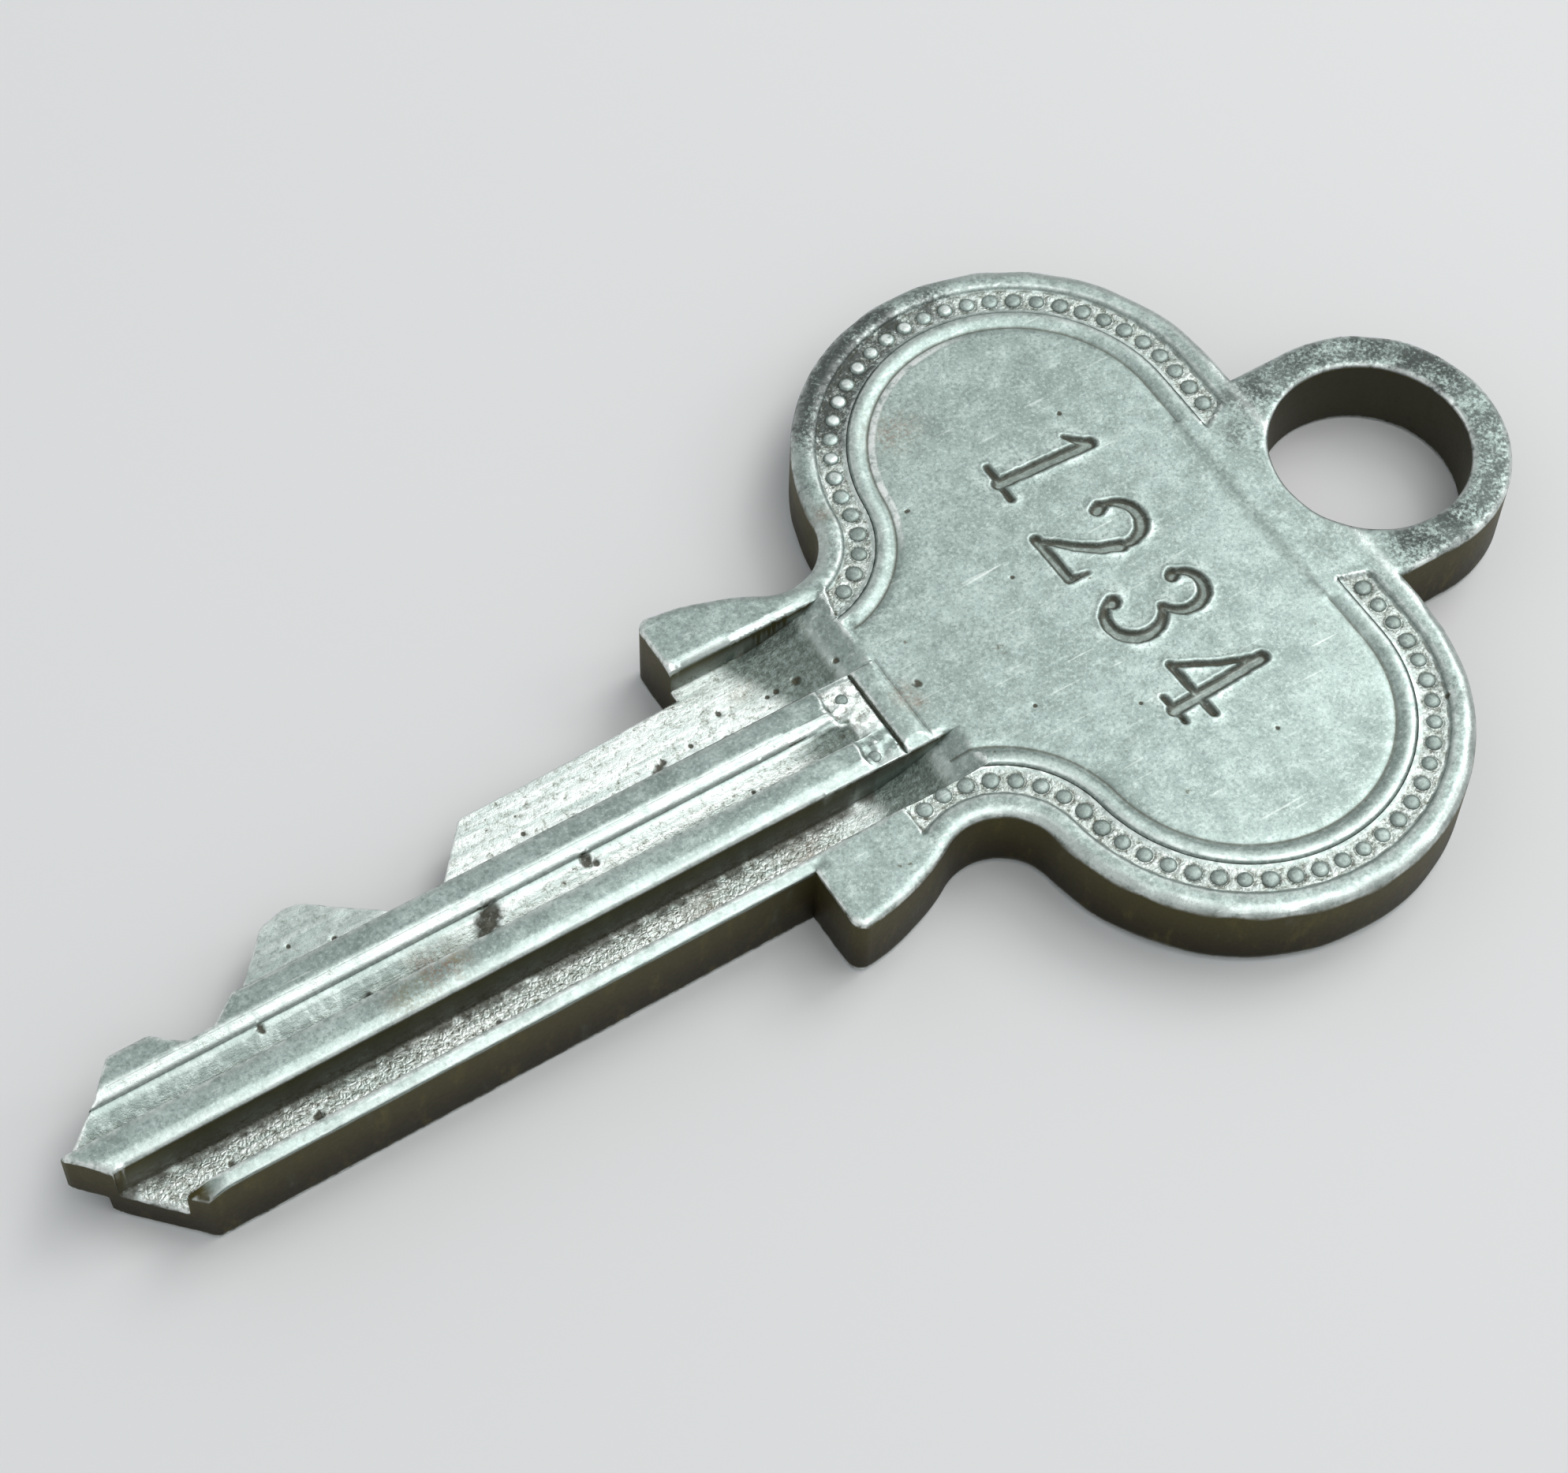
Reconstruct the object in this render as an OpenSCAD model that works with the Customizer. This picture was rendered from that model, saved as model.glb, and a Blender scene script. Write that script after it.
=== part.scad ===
// A small flat key for a pin-tumbler lock, struck and milled from one nickel silver blank.
// It lies face up, with its ring eye towards +X, its blade towards -X and its cuts towards +Y.
// Origin: the plane of the shoulder stops, on the bow's centre line, on the surface it rests on.
// The real key is one piece of metal. Its zones are separate solids here that meet face to face.

/* [Blank] */
// Thickness of the flat blank
blank_t = 2.4; // [1.8:0.05:3.2]

/* [Ring eye] */
// Distance from the shoulder stops to the middle of the ring hole
eye_x = 20.25; // [19.5:0.05:23]
// Radius of the ring hole
eye_hole_r = 2.8; // [2:0.05:3]
// Width of metal round the ring hole
eye_wall = 1.1; // [0.8:0.05:1.6]
// Half width of the tongue that carries the eye into the bow
tongue_half_w = 3.1; // [2.9:0.05:3.2]

/* [Bow] */
// Distance from the shoulder stops to the middle of the round lobes
lobe_x = 12.05; // [11.5:0.05:12.6]
// Distance from the centre line to the middle of a lobe
lobe_y = 5; // [4.6:0.05:5.6]
// Radius of a lobe
lobe_r = 6.3; // [5.8:0.05:6.8]
// Width of the plain rim outside the pearls
rim_w = 0.67; // [0.5:0.01:0.9]
// Width of the sunk channel that holds the pearls
channel_w = 0.87; // [0.7:0.01:1]
// Depth of that channel
channel_depth = 0.14; // [0.13:0.01:0.2]
// Width of the ridge between the channel and the panel
ridge_w = 0.63; // [0.4:0.01:0.9]
// Depth of the flat panel below the ridge
panel_depth = 0.06; // [0.03:0.01:0.15]

/* [Number] */
// Distance from the shoulder stops to the foot of the stamped digits
number_x = 10.6; // [10:0.1:11.2]
// Distance from the centre line to the middle of the number
number_y = 0.15; // [-0.5:0.05:0.5]
// Height of a digit
digit_h = 3.1; // [2.4:0.1:3.6]
// Distance from one digit to the next
digit_pitch = 2.7; // [2.5:0.05:2.9]
// Width of a digit's stroke
stroke_w = 0.28; // [0.15:0.01:0.35]
// Depth of the digits below the panel
digit_depth = 0.12; // [0.05:0.01:0.2]

/* [Pearls] */
// Radius of a pearl where it stands on the channel floor
pearl_r = 0.25; // [0.15:0.01:0.3]
// Height of a pearl above the channel floor, a little less than the channel is deep
pearl_h = 0.12; // [0.08:0.01:0.12]
// Distance from one pearl to the next along the channel
pearl_pitch = 0.66; // [0.62:0.01:0.9]
// Least gap from a pearl to the end of its channel
pearl_gap = 0.1; // [0.05:0.01:0.2]

/* [Neck and shoulders] */
// Half width of the neck at its narrowest
neck_half_w = 4.33; // [4.1:0.05:4.6]
// Radius of the hollow curve from the neck into a lobe
neck_curve_r = 1.65; // [1.4:0.05:1.9]
// Distance from the centre line to the outer tip of a shoulder
shoulder_half_w = 5.5; // [5.2:0.05:5.8]
// Radius of the long curve down the back of a shoulder
shoulder_curve_r = 7; // [6:0.1:8]
// Radius of the outer corner of a shoulder
shoulder_corner_r = 0.4; // [0.2:0.05:0.6]
// Distance from the shoulder stops to where the neck meets the bow
neck_len = 4.9; // [4.8:0.05:5.1]
// Distance from the shoulder stops to the near edge of the cross bar
bar_x = 4.03; // [3.9:0.01:4.1]
// Width of the raised cross bar
bar_w = 0.65; // [0.4:0.05:0.7]
// Width of the line between the cross bar and the panel
panel_lip = 0.08; // [0.05:0.01:0.15]
// Distance from the shoulder stops to the square end of the pearl channel
channel_end_x = 2.94; // [2.8:0.01:3.1]

/* [Blade] */
// Length of the blade from the shoulder stops to its nose
blade_len = 19.8; // [19:0.1:21]
// How far the root of the blade runs into the neck
blade_root = 0.6; // [0.3:0.1:1]
// Distance from the centre line to the uncut spine of the blade
spine_y = 3.47; // [3.3:0.01:3.6]
// Distance from the centre line to the cut edge, at the shoulder
edge_y = 3.3; // [3.1:0.01:3.5]
// How much lower the cut edge is at its first cut
edge_wear = 0.16; // [0:0.01:0.3]
// Distance from the centre line to the point of the nose, towards the spine
nose_y = 0.7; // [0.5:0.05:1.2]
// Angle of the slope from the nose to the spine
nose_angle = 47; // [35:1:50]
// Width of the bevels round the nose
nose_bevel = 0.3; // [0.1:0.05:0.5]

/* [Cuts] */
// Distance from the shoulder stops to the middle of the first deep cut
cut1_x = 8.8; // [8.5:0.1:9.2]
// Flat width at the bottom of the first deep cut
cut1_flat = 1; // [0.5:0.1:1.4]
// Distance from the centre line to the bottom of the first deep cut
cut1_y = 1.29; // [0.8:0.01:1.6]
// Distance from the shoulder stops to the middle of the second deep cut
cut2_x = 15.3; // [15:0.1:15.6]
// Flat width at the bottom of the second deep cut
cut2_flat = 0.7; // [0.4:0.1:1]
// Distance from the centre line to the bottom of the second deep cut
cut2_y = 0.57; // [0.4:0.01:0.8]
// Angle of a cut's sides from the line of the blade
cut_angle = 43; // [38:1:48]
// Distance from the centre line to the last peak before the nose
last_peak_y = 1.4; // [1.2:0.05:1.6]

/* [Milled grooves] */
// Radius of the disc that milled the grooves
cutter_r = 6; // [5:0.1:7]
// Distance from the centre line to the near side of the wide groove
wide_near_y = 1.2; // [1.1:0.01:1.3]
// Distance from the centre line to the far side of the wide groove
wide_far_y = 3.64; // [3.55:0.01:3.75]
// Depth of the wide groove
wide_depth = 0.92; // [0.6:0.01:1]
// Distance from the shoulder stops to where the wide groove runs out
wide_end_x = 4.7; // [4.5:0.01:4.75]
// Distance from the centre line to the shallow side of the middle groove
middle_near_y = 0.15; // [0:0.01:0.3]
// Distance from the centre line to the deep side of the middle groove
middle_far_y = 0.67; // [0.5:0.01:0.8]
// Depth of the middle groove at its deep side
middle_depth = 0.62; // [0.4:0.01:0.7]
// Depth of the middle groove at its shallow side
middle_step = 0.06; // [0.03:0.01:0.1]
// Distance from the shoulder stops to where the middle groove runs out
middle_end_x = 3.6; // [3.4:0.01:3.8]
// Distance from the centre line to the near side of the deep groove
deep_near_y = 1.65; // [1.6:0.01:1.8]
// Distance from the centre line to the far side of the deep groove
deep_far_y = 3.04; // [2.9:0.01:3.1]
// Depth of the deep groove
deep_depth = 1.25; // [0.9:0.01:1.3]
// Distance from the shoulder stops to where the deep groove runs out
deep_end_x = 5.54; // [5.3:0.01:5.8]
// Distance from the centre line to the near side of the groove in the back
back_near_y = 0.2; // [0.1:0.01:0.3]
// Distance from the centre line to the far side of the groove in the back
back_far_y = 1.5; // [1.4:0.01:1.55]
// Depth of the groove in the back
back_depth = 0.7; // [0.4:0.01:0.75]
// Distance from the shoulder stops to where the groove in the back runs out
back_end_x = 3.6; // [3.4:0.01:3.8]

/* [Hidden] */
$fn = 96;
// How far a cutting shape stands clear of the face that it cuts
clear = 1;
// Straight side of the bow, where the ring eye joins it
side_x = lobe_x + lobe_r;
eye_half_w = eye_hole_r + eye_wall;
// Insets from the bow's outline to each line of its border
channel_out = rim_w;
channel_in = channel_out + channel_w;
panel_in = channel_in + ridge_w;
pearl_line = rim_w + channel_w / 2;
tongue_x = side_x - panel_in;
// The channel stops this far short of the tongue
channel_stop_y = tongue_half_w + 0.15;
// Centre of the hollow curve, which touches both the lobe and the shoulder's long curve
hollow_y = neck_half_w + neck_curve_r;
hollow_x = lobe_x - sqrt(pow(lobe_r + neck_curve_r, 2) - pow(hollow_y - lobe_y, 2));
long_y = shoulder_half_w - shoulder_curve_r;
long_x = hollow_x - sqrt(pow(shoulder_curve_r + neck_curve_r, 2) - pow(hollow_y - long_y, 2));
// Angle on the lobe where the hollow curve touches it, and on the long curve where it touches that
touch_angle = 180 - asin((hollow_y - lobe_y) / (lobe_r + neck_curve_r));
long_angle = asin((hollow_y - long_y) / (shoulder_curve_r + neck_curve_r));
// Heights of the sunk faces of the front
channel_z = blank_t - channel_depth;
panel_z = blank_t - panel_depth;

// Draws its children on both halves of the key
module both_sides() {
    children();
    mirror([0, 1, 0]) children();
}

// Puts a shape made on the front onto the back as well
module both_faces() {
    children();
    translate([0, 0, blank_t]) mirror([0, 0, 1]) children();
}

// A slab between two heights over a flat outline
module slab(z0, z1) {
    translate([0, 0, z0]) linear_extrude(z1 - z0) children();
}

// Point on a circle at a given angle
function on_arc(centre, r, angle) = centre + r * [cos(angle), sin(angle)];
// Points along a round stretch, from one angle to another
function arc(centre, r, from, to, steps) =
    [for (i = [0 : steps]) on_arc(centre, r, from + (to - from) * i / steps)];
// Angle on the hollow curve, drawn in by inset, where it crosses the line at x
function hollow_angle(x, inset) = -acos((x - hollow_x) / (neck_curve_r + inset));
// The edge of one half, drawn in by inset, from the line at x round the lobe to the straight side
function half_edge(x, inset) = concat(
    arc([hollow_x, hollow_y], neck_curve_r + inset, hollow_angle(x, inset), touch_angle - 180, 12),
    arc([lobe_x, lobe_y], lobe_r - inset, touch_angle, 0, 48));
// The same path on the other half, and the same path drawn the other way
function flipped(path) = [for (i = [len(path) - 1 : -1 : 0]) [path[i][0], -path[i][1]]];
function backwards(path) = [for (i = [len(path) - 1 : -1 : 0]) path[i]];

// Outline of the bow from the neck to its straight side, drawn in by inset
module bow_outline(inset = 0) {
    half = half_edge(neck_len, inset);
    polygon(concat(half, flipped(half)));
}

// Outline of the tongue and the ring eye without its hole
module eye_outline() {
    half = concat(arc([eye_x, 0], eye_half_w, 0, 90, 36),
        [[side_x, eye_half_w], [side_x, tongue_half_w], [tongue_x, tongue_half_w]]);
    polygon(concat(flipped(half), half));
}

// Outline of the neck, with the long curve and round corner of each shoulder
module neck_outline() {
    corner = [shoulder_corner_r, shoulder_half_w - shoulder_corner_r];
    half = concat(
        arc(corner, shoulder_corner_r, 180, 90, 6),
        arc([long_x, long_y], shoulder_curve_r, acos((shoulder_corner_r - long_x) / shoulder_curve_r),
            long_angle, 12),
        arc([hollow_x, hollow_y], neck_curve_r, long_angle - 180, hollow_angle(neck_len, 0), 12));
    polygon(concat(half, flipped(half)));
}

// Strip of channel on one half, from beside the ring eye round a lobe into the neck
module half_channel_outline() {
    outer = half_edge(channel_end_x, channel_out);
    inner = half_edge(channel_end_x, channel_in);
    polygon(concat(outer, [[side_x - channel_out, channel_stop_y], [side_x - channel_in, channel_stop_y]],
        backwards(inner)));
}

// A milled groove of a given flat floor, with the round run-out that the disc leaves
module groove(y0, y1, depth, end_x) {
    run = sqrt(2 * cutter_r * depth - depth * depth);
    stop_x = end_x - run;
    floor_z = blank_t - depth;
    translate([-blade_len - clear, y0, floor_z]) cube([blade_len + clear + stop_x, y1 - y0, depth + clear]);
    intersection() {
        translate([stop_x, y0, floor_z + cutter_r]) rotate([-90, 0, 0]) cylinder(h = y1 - y0, r = cutter_r);
        translate([stop_x - clear, y0, floor_z]) cube([run + 2 * clear, y1 - y0, depth + clear]);
    }
}

// The middle groove, whose floor slopes down from a small step to its deep side
module middle_groove() {
    run = sqrt(2 * cutter_r * middle_depth - middle_depth * middle_depth);
    stop_x = middle_end_x - run;
    floor_z = blank_t - middle_depth;
    rise = middle_depth - middle_step;
    top = blank_t + clear;
    translate([-blade_len - clear, 0, 0]) rotate([90, 0, 90]) linear_extrude(blade_len + clear + stop_x)
        polygon([[-middle_far_y, floor_z], [middle_near_y, floor_z + rise], [middle_near_y, top],
            [-middle_far_y, top]]);
    intersection() {
        translate([stop_x, -middle_far_y, floor_z + cutter_r]) rotate([-90, 0, 0])
            cylinder(h = middle_near_y + middle_far_y, r1 = cutter_r, r2 = cutter_r - rise);
        translate([stop_x - clear, -middle_far_y, floor_z])
            cube([run + 2 * clear, middle_near_y + middle_far_y, middle_depth + clear]);
    }
}

// Everything milled into the front and the back
module milling() {
    groove(wide_near_y, wide_far_y, wide_depth, wide_end_x);
    groove(-deep_far_y, -deep_near_y, deep_depth, deep_end_x);
    middle_groove();
    translate([0, 0, blank_t]) mirror([0, 0, 1]) groove(-back_far_y, -back_near_y, back_depth, back_end_x);
}

// Ring eye: a rounded loop on a tongue that runs into the bow
module ring_eye() {
    color([0.50, 0.54, 0.51]) difference() {
        slab(0, blank_t) eye_outline();
        translate([eye_x, 0, -clear]) cylinder(h = blank_t + 2 * clear, r = eye_hole_r);
    }
}

// Bow: two round lobes with a rim, a channel, a ridge and a sunk panel on each face
module bow() {
    color([0.62, 0.66, 0.62]) difference() {
        slab(0, blank_t) difference() {
            bow_outline();
            translate([tongue_x, -tongue_half_w]) square([side_x, 2 * tongue_half_w]);
        }
        both_faces() both_sides() slab(channel_z, blank_t + clear) half_channel_outline();
        both_faces() slab(panel_z, blank_t + clear) panel_outline();
        slab(panel_z - digit_depth, blank_t + clear) number();
        milling();
    }
}

// The panel stops at the tongue, which carries its level on to the ring eye
module panel_outline() {
    half = half_edge(neck_len + panel_lip, panel_in);
    polygon(concat(half, flipped(half)));
}

// Strokes of the plain digits 1 to 4, across and up from the foot, as shares of a digit's height
DIGITS = [
    [[[-0.16, 0.8], [0, 1]], [[0, 0], [0, 1]], [[-0.19, 0.03], [0.19, 0.03]]],
    [concat(arc([0, 0.74], 0.25, 165, -40, 10), [[-0.26, 0.05]]), [[-0.26, 0.05], [0.28, 0.05]]],
    [arc([0, 0.76], 0.22, 150, -80, 10), arc([0, 0.29], 0.27, 85, -150, 12)],
    [[[0.08, 0.97], [-0.28, 0.3]], [[-0.3, 0.3], [0.28, 0.3]], [[0.08, 0], [0.08, 1]]]];

// A point of a stroke's side, square to the line between the points before and after it
function side_point(path, i, w) =
    let (a = path[max(i - 1, 0)], b = path[min(i + 1, len(path) - 1)], along = (b - a) / norm(b - a))
    path[i] + w * [-along[1], along[0]];

// The stamped number, read from the +Y lobe to the -Y lobe with its feet towards the blade
module number() {
    for (i = [0 : len(DIGITS) - 1])
        translate([number_x, number_y + ((len(DIGITS) - 1) / 2 - i) * digit_pitch]) rotate(-90)
            for (path = DIGITS[i] * digit_h)
                polygon(concat([for (k = [0 : len(path) - 1]) side_point(path, k, stroke_w / 2)],
                    [for (k = [len(path) - 1 : -1 : 0]) side_point(path, k, -stroke_w / 2)]));
}

// Neck: the two shoulder stops, the cross bar and the ends of the pearl channel
module neck() {
    color([0.60, 0.64, 0.60]) difference() {
        slab(0, blank_t) difference() {
            neck_outline();
            translate([-clear, -spine_y]) square([clear + blade_root, spine_y + edge_y]);
        }
        both_faces() both_sides() slab(channel_z, blank_t + clear) half_channel_outline();
        both_faces() slab(channel_z, blank_t + clear) bar_recess();
        milling();
    }
}

// Sunk field beside the cross bar, between the wide groove and the deep groove
module bar_recess() {
    translate([channel_end_x, -deep_near_y]) square([bar_x - channel_end_x, wide_near_y + deep_near_y]);
    translate([bar_x + bar_w, -deep_near_y]) square([panel_lip, wide_near_y + deep_near_y]);
}

// One cut into the edge, with a flat bottom and two sloping sides
module bit_cut(x, flat, bottom_y) {
    rise = edge_y + clear - bottom_y;
    spread = rise / tan(cut_angle);
    polygon([[-x - flat / 2, bottom_y], [-x + flat / 2, bottom_y],
        [-x + flat / 2 + spread, bottom_y + rise], [-x - flat / 2 - spread, bottom_y + rise]]);
}

// Outline of the blade seen from above, with its cuts and its nose
module blade_outline() {
    nose_run = (spine_y - nose_y) / tan(nose_angle);
    top_run = (nose_y + last_peak_y) / tan(cut_angle);
    difference() {
        polygon([[blade_root, -spine_y], [blade_root, edge_y], [0, edge_y],
            [-cut1_x + cut1_flat, edge_y - edge_wear],
            [-cut2_x, edge_y - edge_wear], [-blade_len + top_run, last_peak_y],
            [-blade_len, -nose_y], [-blade_len + nose_run, -spine_y]]);
        bit_cut(cut1_x, cut1_flat, cut1_y);
        bit_cut(cut2_x, cut2_flat, cut2_y);
        translate([-blade_len, last_peak_y]) square([blade_len - cut2_x, edge_y]);
    }
}

// Bevel that breaks the top edge of the nose, from its point down to the spine
module nose_bevel_cut() {
    slope_len = (spine_y - nose_y) / sin(nose_angle);
    translate([-blade_len, -nose_y, blank_t]) rotate([0, 0, -nose_angle]) rotate([45, 0, 0])
        cube([2 * (slope_len + clear), nose_bevel * sqrt(2), nose_bevel * sqrt(2)], center = true);
}

// Blade: the part that enters the lock, with its spine, three ridges and cut edge
module blade() {
    color([0.66, 0.69, 0.65]) difference() {
        slab(0, blank_t) blade_outline();
        milling();
        both_faces() nose_bevel_cut();
    }
}

// The pearls' line runs straight beside the ring eye, then round the lobe, then into the neck
pearl_side = lobe_y - channel_stop_y - pearl_r - pearl_gap;
pearl_arc_r = lobe_r - pearl_line;
pearl_arc = pearl_arc_r * touch_angle * PI / 180;
pearl_hollow_r = neck_curve_r + pearl_line;
pearl_end_angle = -acos((channel_end_x + pearl_r + pearl_gap - hollow_x) / pearl_hollow_r);
pearl_run = pearl_side + pearl_arc + pearl_hollow_r * (touch_angle - 180 - pearl_end_angle) * PI / 180;
pearl_count = floor(pearl_run / pearl_pitch) + 1;

// Angle of a stretch of line round a circle
function turn(s, r) = s / r * 180 / PI;
// Point on the pearls' line at a distance s from its end by the ring eye
function pearl_point(s) =
    s < pearl_side ? [side_x - pearl_line, lobe_y - pearl_side + s]
    : s < pearl_side + pearl_arc ? on_arc([lobe_x, lobe_y], pearl_arc_r, turn(s - pearl_side, pearl_arc_r))
    : on_arc([hollow_x, hollow_y], pearl_hollow_r,
        touch_angle - 180 - turn(s - pearl_side - pearl_arc, pearl_hollow_r));

// One pearl: a low dome on the channel floor
module pearl(place) {
    translate([place[0], place[1], channel_z]) rotate_extrude($fn = 24)
        polygon([[0, 0], [pearl_r, 0], [0.85 * pearl_r, pearl_h / 2], [0.45 * pearl_r, pearl_h],
            [0, pearl_h]]);
}

// The pearls of one half that stand on the bow, or those that stand on the neck
module pearl_row(on_neck) {
    for (i = [0 : pearl_count - 1]) {
        place = pearl_point(i * pearl_pitch);
        if (on_neck == place[0] < deep_end_x + pearl_r) pearl(place);
    }
}

// The short row of pearls beside the cross bar
module bar_row() {
    bar_row_x = (channel_end_x + bar_x) / 2;
    for (y = [wide_near_y - pearl_r - 2 * pearl_gap : -pearl_pitch : -deep_near_y + pearl_r])
        pearl([bar_row_x, y]);
}

// Pearls: low domes in the sunk channel and beside the cross bar, those on the neck cut by the grooves
module pearls() {
    color([0.72, 0.75, 0.71]) {
        both_faces() both_sides() pearl_row(false);
        difference() {
            both_faces() {
                both_sides() pearl_row(true);
                bar_row();
            }
            milling();
        }
    }
}

ring_eye();
bow();
neck();
blade();
pearls();
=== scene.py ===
import math
from functools import partial

import bpy
import numpy as np
from mathutils import Matrix, Vector
from mathutils.geometry import delaunay_2d_cdt
from mathutils.kdtree import KDTree


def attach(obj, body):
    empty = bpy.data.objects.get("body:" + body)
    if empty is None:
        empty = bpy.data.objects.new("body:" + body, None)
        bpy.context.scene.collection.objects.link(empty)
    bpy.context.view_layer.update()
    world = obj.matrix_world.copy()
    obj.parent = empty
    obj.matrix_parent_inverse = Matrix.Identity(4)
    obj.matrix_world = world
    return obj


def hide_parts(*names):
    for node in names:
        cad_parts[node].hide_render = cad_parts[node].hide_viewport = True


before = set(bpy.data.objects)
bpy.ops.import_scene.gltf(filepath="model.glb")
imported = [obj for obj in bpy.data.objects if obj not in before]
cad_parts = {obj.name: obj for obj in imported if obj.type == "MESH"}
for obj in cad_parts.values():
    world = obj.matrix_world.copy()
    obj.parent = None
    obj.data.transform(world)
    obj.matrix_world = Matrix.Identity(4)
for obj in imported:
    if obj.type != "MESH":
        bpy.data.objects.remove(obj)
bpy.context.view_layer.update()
for name in ("Cube", "Light", "Camera"):
    if name in bpy.data.objects:
        bpy.data.objects.remove(bpy.data.objects[name])
bpy.ops.object.select_all(action="DESELECT")

# The blank: one flat piece of nickel silver, stamped out to the outline of the whole key.
# Its edge is written in millimetres, as the arcs and lines of the punch that cut it: the ring eye, the two
# lobes with a hollow under each, the long arcs of the shoulders, and the blade.
THICK = 2.4
EYE_X, HOLE_R, EYE_R = 20.25, 2.8, 3.9
LOBE_X, LOBE_Y, LOBE_R = 12.05, 5.0, 6.3
SIDE_X = LOBE_X + LOBE_R
NECK_Y, HOLLOW_R = 4.33, 1.65
HOLLOW_Y = NECK_Y + HOLLOW_R
HOLLOW_X = LOBE_X - math.sqrt((LOBE_R + HOLLOW_R) ** 2 - (HOLLOW_Y - LOBE_Y) ** 2)
TIP_Y, LONG_R, CORNER_R = 5.5, 7.0, 0.4
LONG_Y = TIP_Y - LONG_R
LONG_X = HOLLOW_X - math.sqrt((LONG_R + HOLLOW_R) ** 2 - (HOLLOW_Y - LONG_Y) ** 2)
NECK_END, SPINE_Y, EDGE_Y = 4.9, 3.47, 3.3
# Where the arcs meet, in degrees round the lobe, the hollow and the long arc
TOUCH = 180 - math.degrees(math.asin((HOLLOW_Y - LOBE_Y) / (LOBE_R + HOLLOW_R)))
NECK_ANGLE = -math.degrees(math.acos((NECK_END - HOLLOW_X) / HOLLOW_R))
LONG_ANGLE = math.degrees(math.asin((HOLLOW_Y - LONG_Y) / (LONG_R + HOLLOW_R)))
CORNER_ANGLE = math.degrees(math.acos((CORNER_R - LONG_X) / LONG_R))
# The filed cuts and the nose, from the shoulder round to the spine
NOSE_TOP, NOSE_FOOT = (-19.24, -0.28), (-17.2, -SPINE_Y)
CUT_EDGE = [(0, EDGE_Y), (-3.28, 3.17), (-6.6, 3.14), (-6.74, 3.09), (-7.9, 1.74), (-8.26, 1.36),
            (-8.4, 1.29), (-9.22, 1.29), (-9.34, 1.36), (-9.6, 1.74), (-10.64, 2.5), (-11.25, 3.0),
            (-11.42, 3.08), (-11.82, 3.14), (-12.4, 3.0), (-12.6, 2.9), (-13.61, 1.79), (-14.2, 1.18),
            (-14.86, 0.67), (-14.98, 0.59), (-15.66, 0.56), (-15.8, 0.6), (-16.02, 0.78), (-16.42, 1.15),
            (-16.66, 1.33), (-16.9, 1.4), (-17.36, 1.4), (-17.55, 1.28), (-17.84, 0.94), (-18.34, 0.34),
            NOSE_TOP, (-19.7, -0.52), (-19.79, -0.66), (-19.74, -0.78), (-17.3, -3.38), NOSE_FOOT]
EDGE_STEP, CUT_STEP, SPINE_STEP = 0.1, 0.08, 0.2


def arc(cx, cy, r, start, end, step=EDGE_STEP):
    """Points every step along an arc between two angles."""
    n = max(2, int(abs(math.radians(end - start)) * r / step) + 1)
    a = np.radians(np.linspace(start, end, n + 1))
    return np.stack([cx + r * np.cos(a), cy + r * np.sin(a)], 1)


def stretch(points, step=EDGE_STEP):
    """Points every step along a bent line."""
    rows = []
    for a, b in zip(points[:-1], points[1:]):
        a, b = np.array(a, float), np.array(b, float)
        n = max(1, int(np.hypot(*(b - a)) / step + 0.5))
        rows.append(a + (b - a) * (np.arange(n) / n)[:, None])
    rows.append(np.array([points[-1]], float))
    return np.concatenate(rows)


def closed_edge():
    """The edge, anticlockwise, as rows of x, y and the width of the worn corner that follows."""
    nose = CUT_EDGE.index(NOSE_TOP)
    half = [(0.24, arc(EYE_X, 0, EYE_R, 0, 90)),
            (0.24, stretch([(EYE_X, EYE_R), (SIDE_X, EYE_R)])),
            (0.2, stretch([(SIDE_X, EYE_R), (SIDE_X, LOBE_Y)])),
            (0.38, arc(LOBE_X, LOBE_Y, LOBE_R, 0, TOUCH)),
            (0.3, arc(HOLLOW_X, HOLLOW_Y, HOLLOW_R, TOUCH - 180, NECK_ANGLE)),
            (0.3, arc(HOLLOW_X, HOLLOW_Y, HOLLOW_R, NECK_ANGLE, LONG_ANGLE - 180)),
            (0.26, arc(LONG_X, LONG_Y, LONG_R, LONG_ANGLE, CORNER_ANGLE)),
            (0.2, arc(CORNER_R, TIP_Y - CORNER_R, CORNER_R, 90, 180))]
    blade = [(0.12, stretch([(0, TIP_Y - CORNER_R), (0, EDGE_Y)])),
             (0.06, stretch(CUT_EDGE[:nose + 1], CUT_STEP)),
             (0.2, stretch(CUT_EDGE[nose:], CUT_STEP)),
             (0.1, stretch([NOSE_FOOT, (0, -SPINE_Y)], SPINE_STEP)),
             (0.12, stretch([(0, -SPINE_Y), (0, -(TIP_Y - CORNER_R))]))]
    other_half = [(width, pts[::-1] * [1, -1]) for width, pts in half[::-1]]
    return np.concatenate([np.column_stack([pts[:-1], np.full(len(pts) - 1, width)])
                           for width, pts in half + blade + other_half])


outline = closed_edge()
# A corner's width changes over seven points, never at once
outline[:, 2] = sum(np.roll(outline[:, 2], k) for k in range(-3, 4)) / 7

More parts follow.
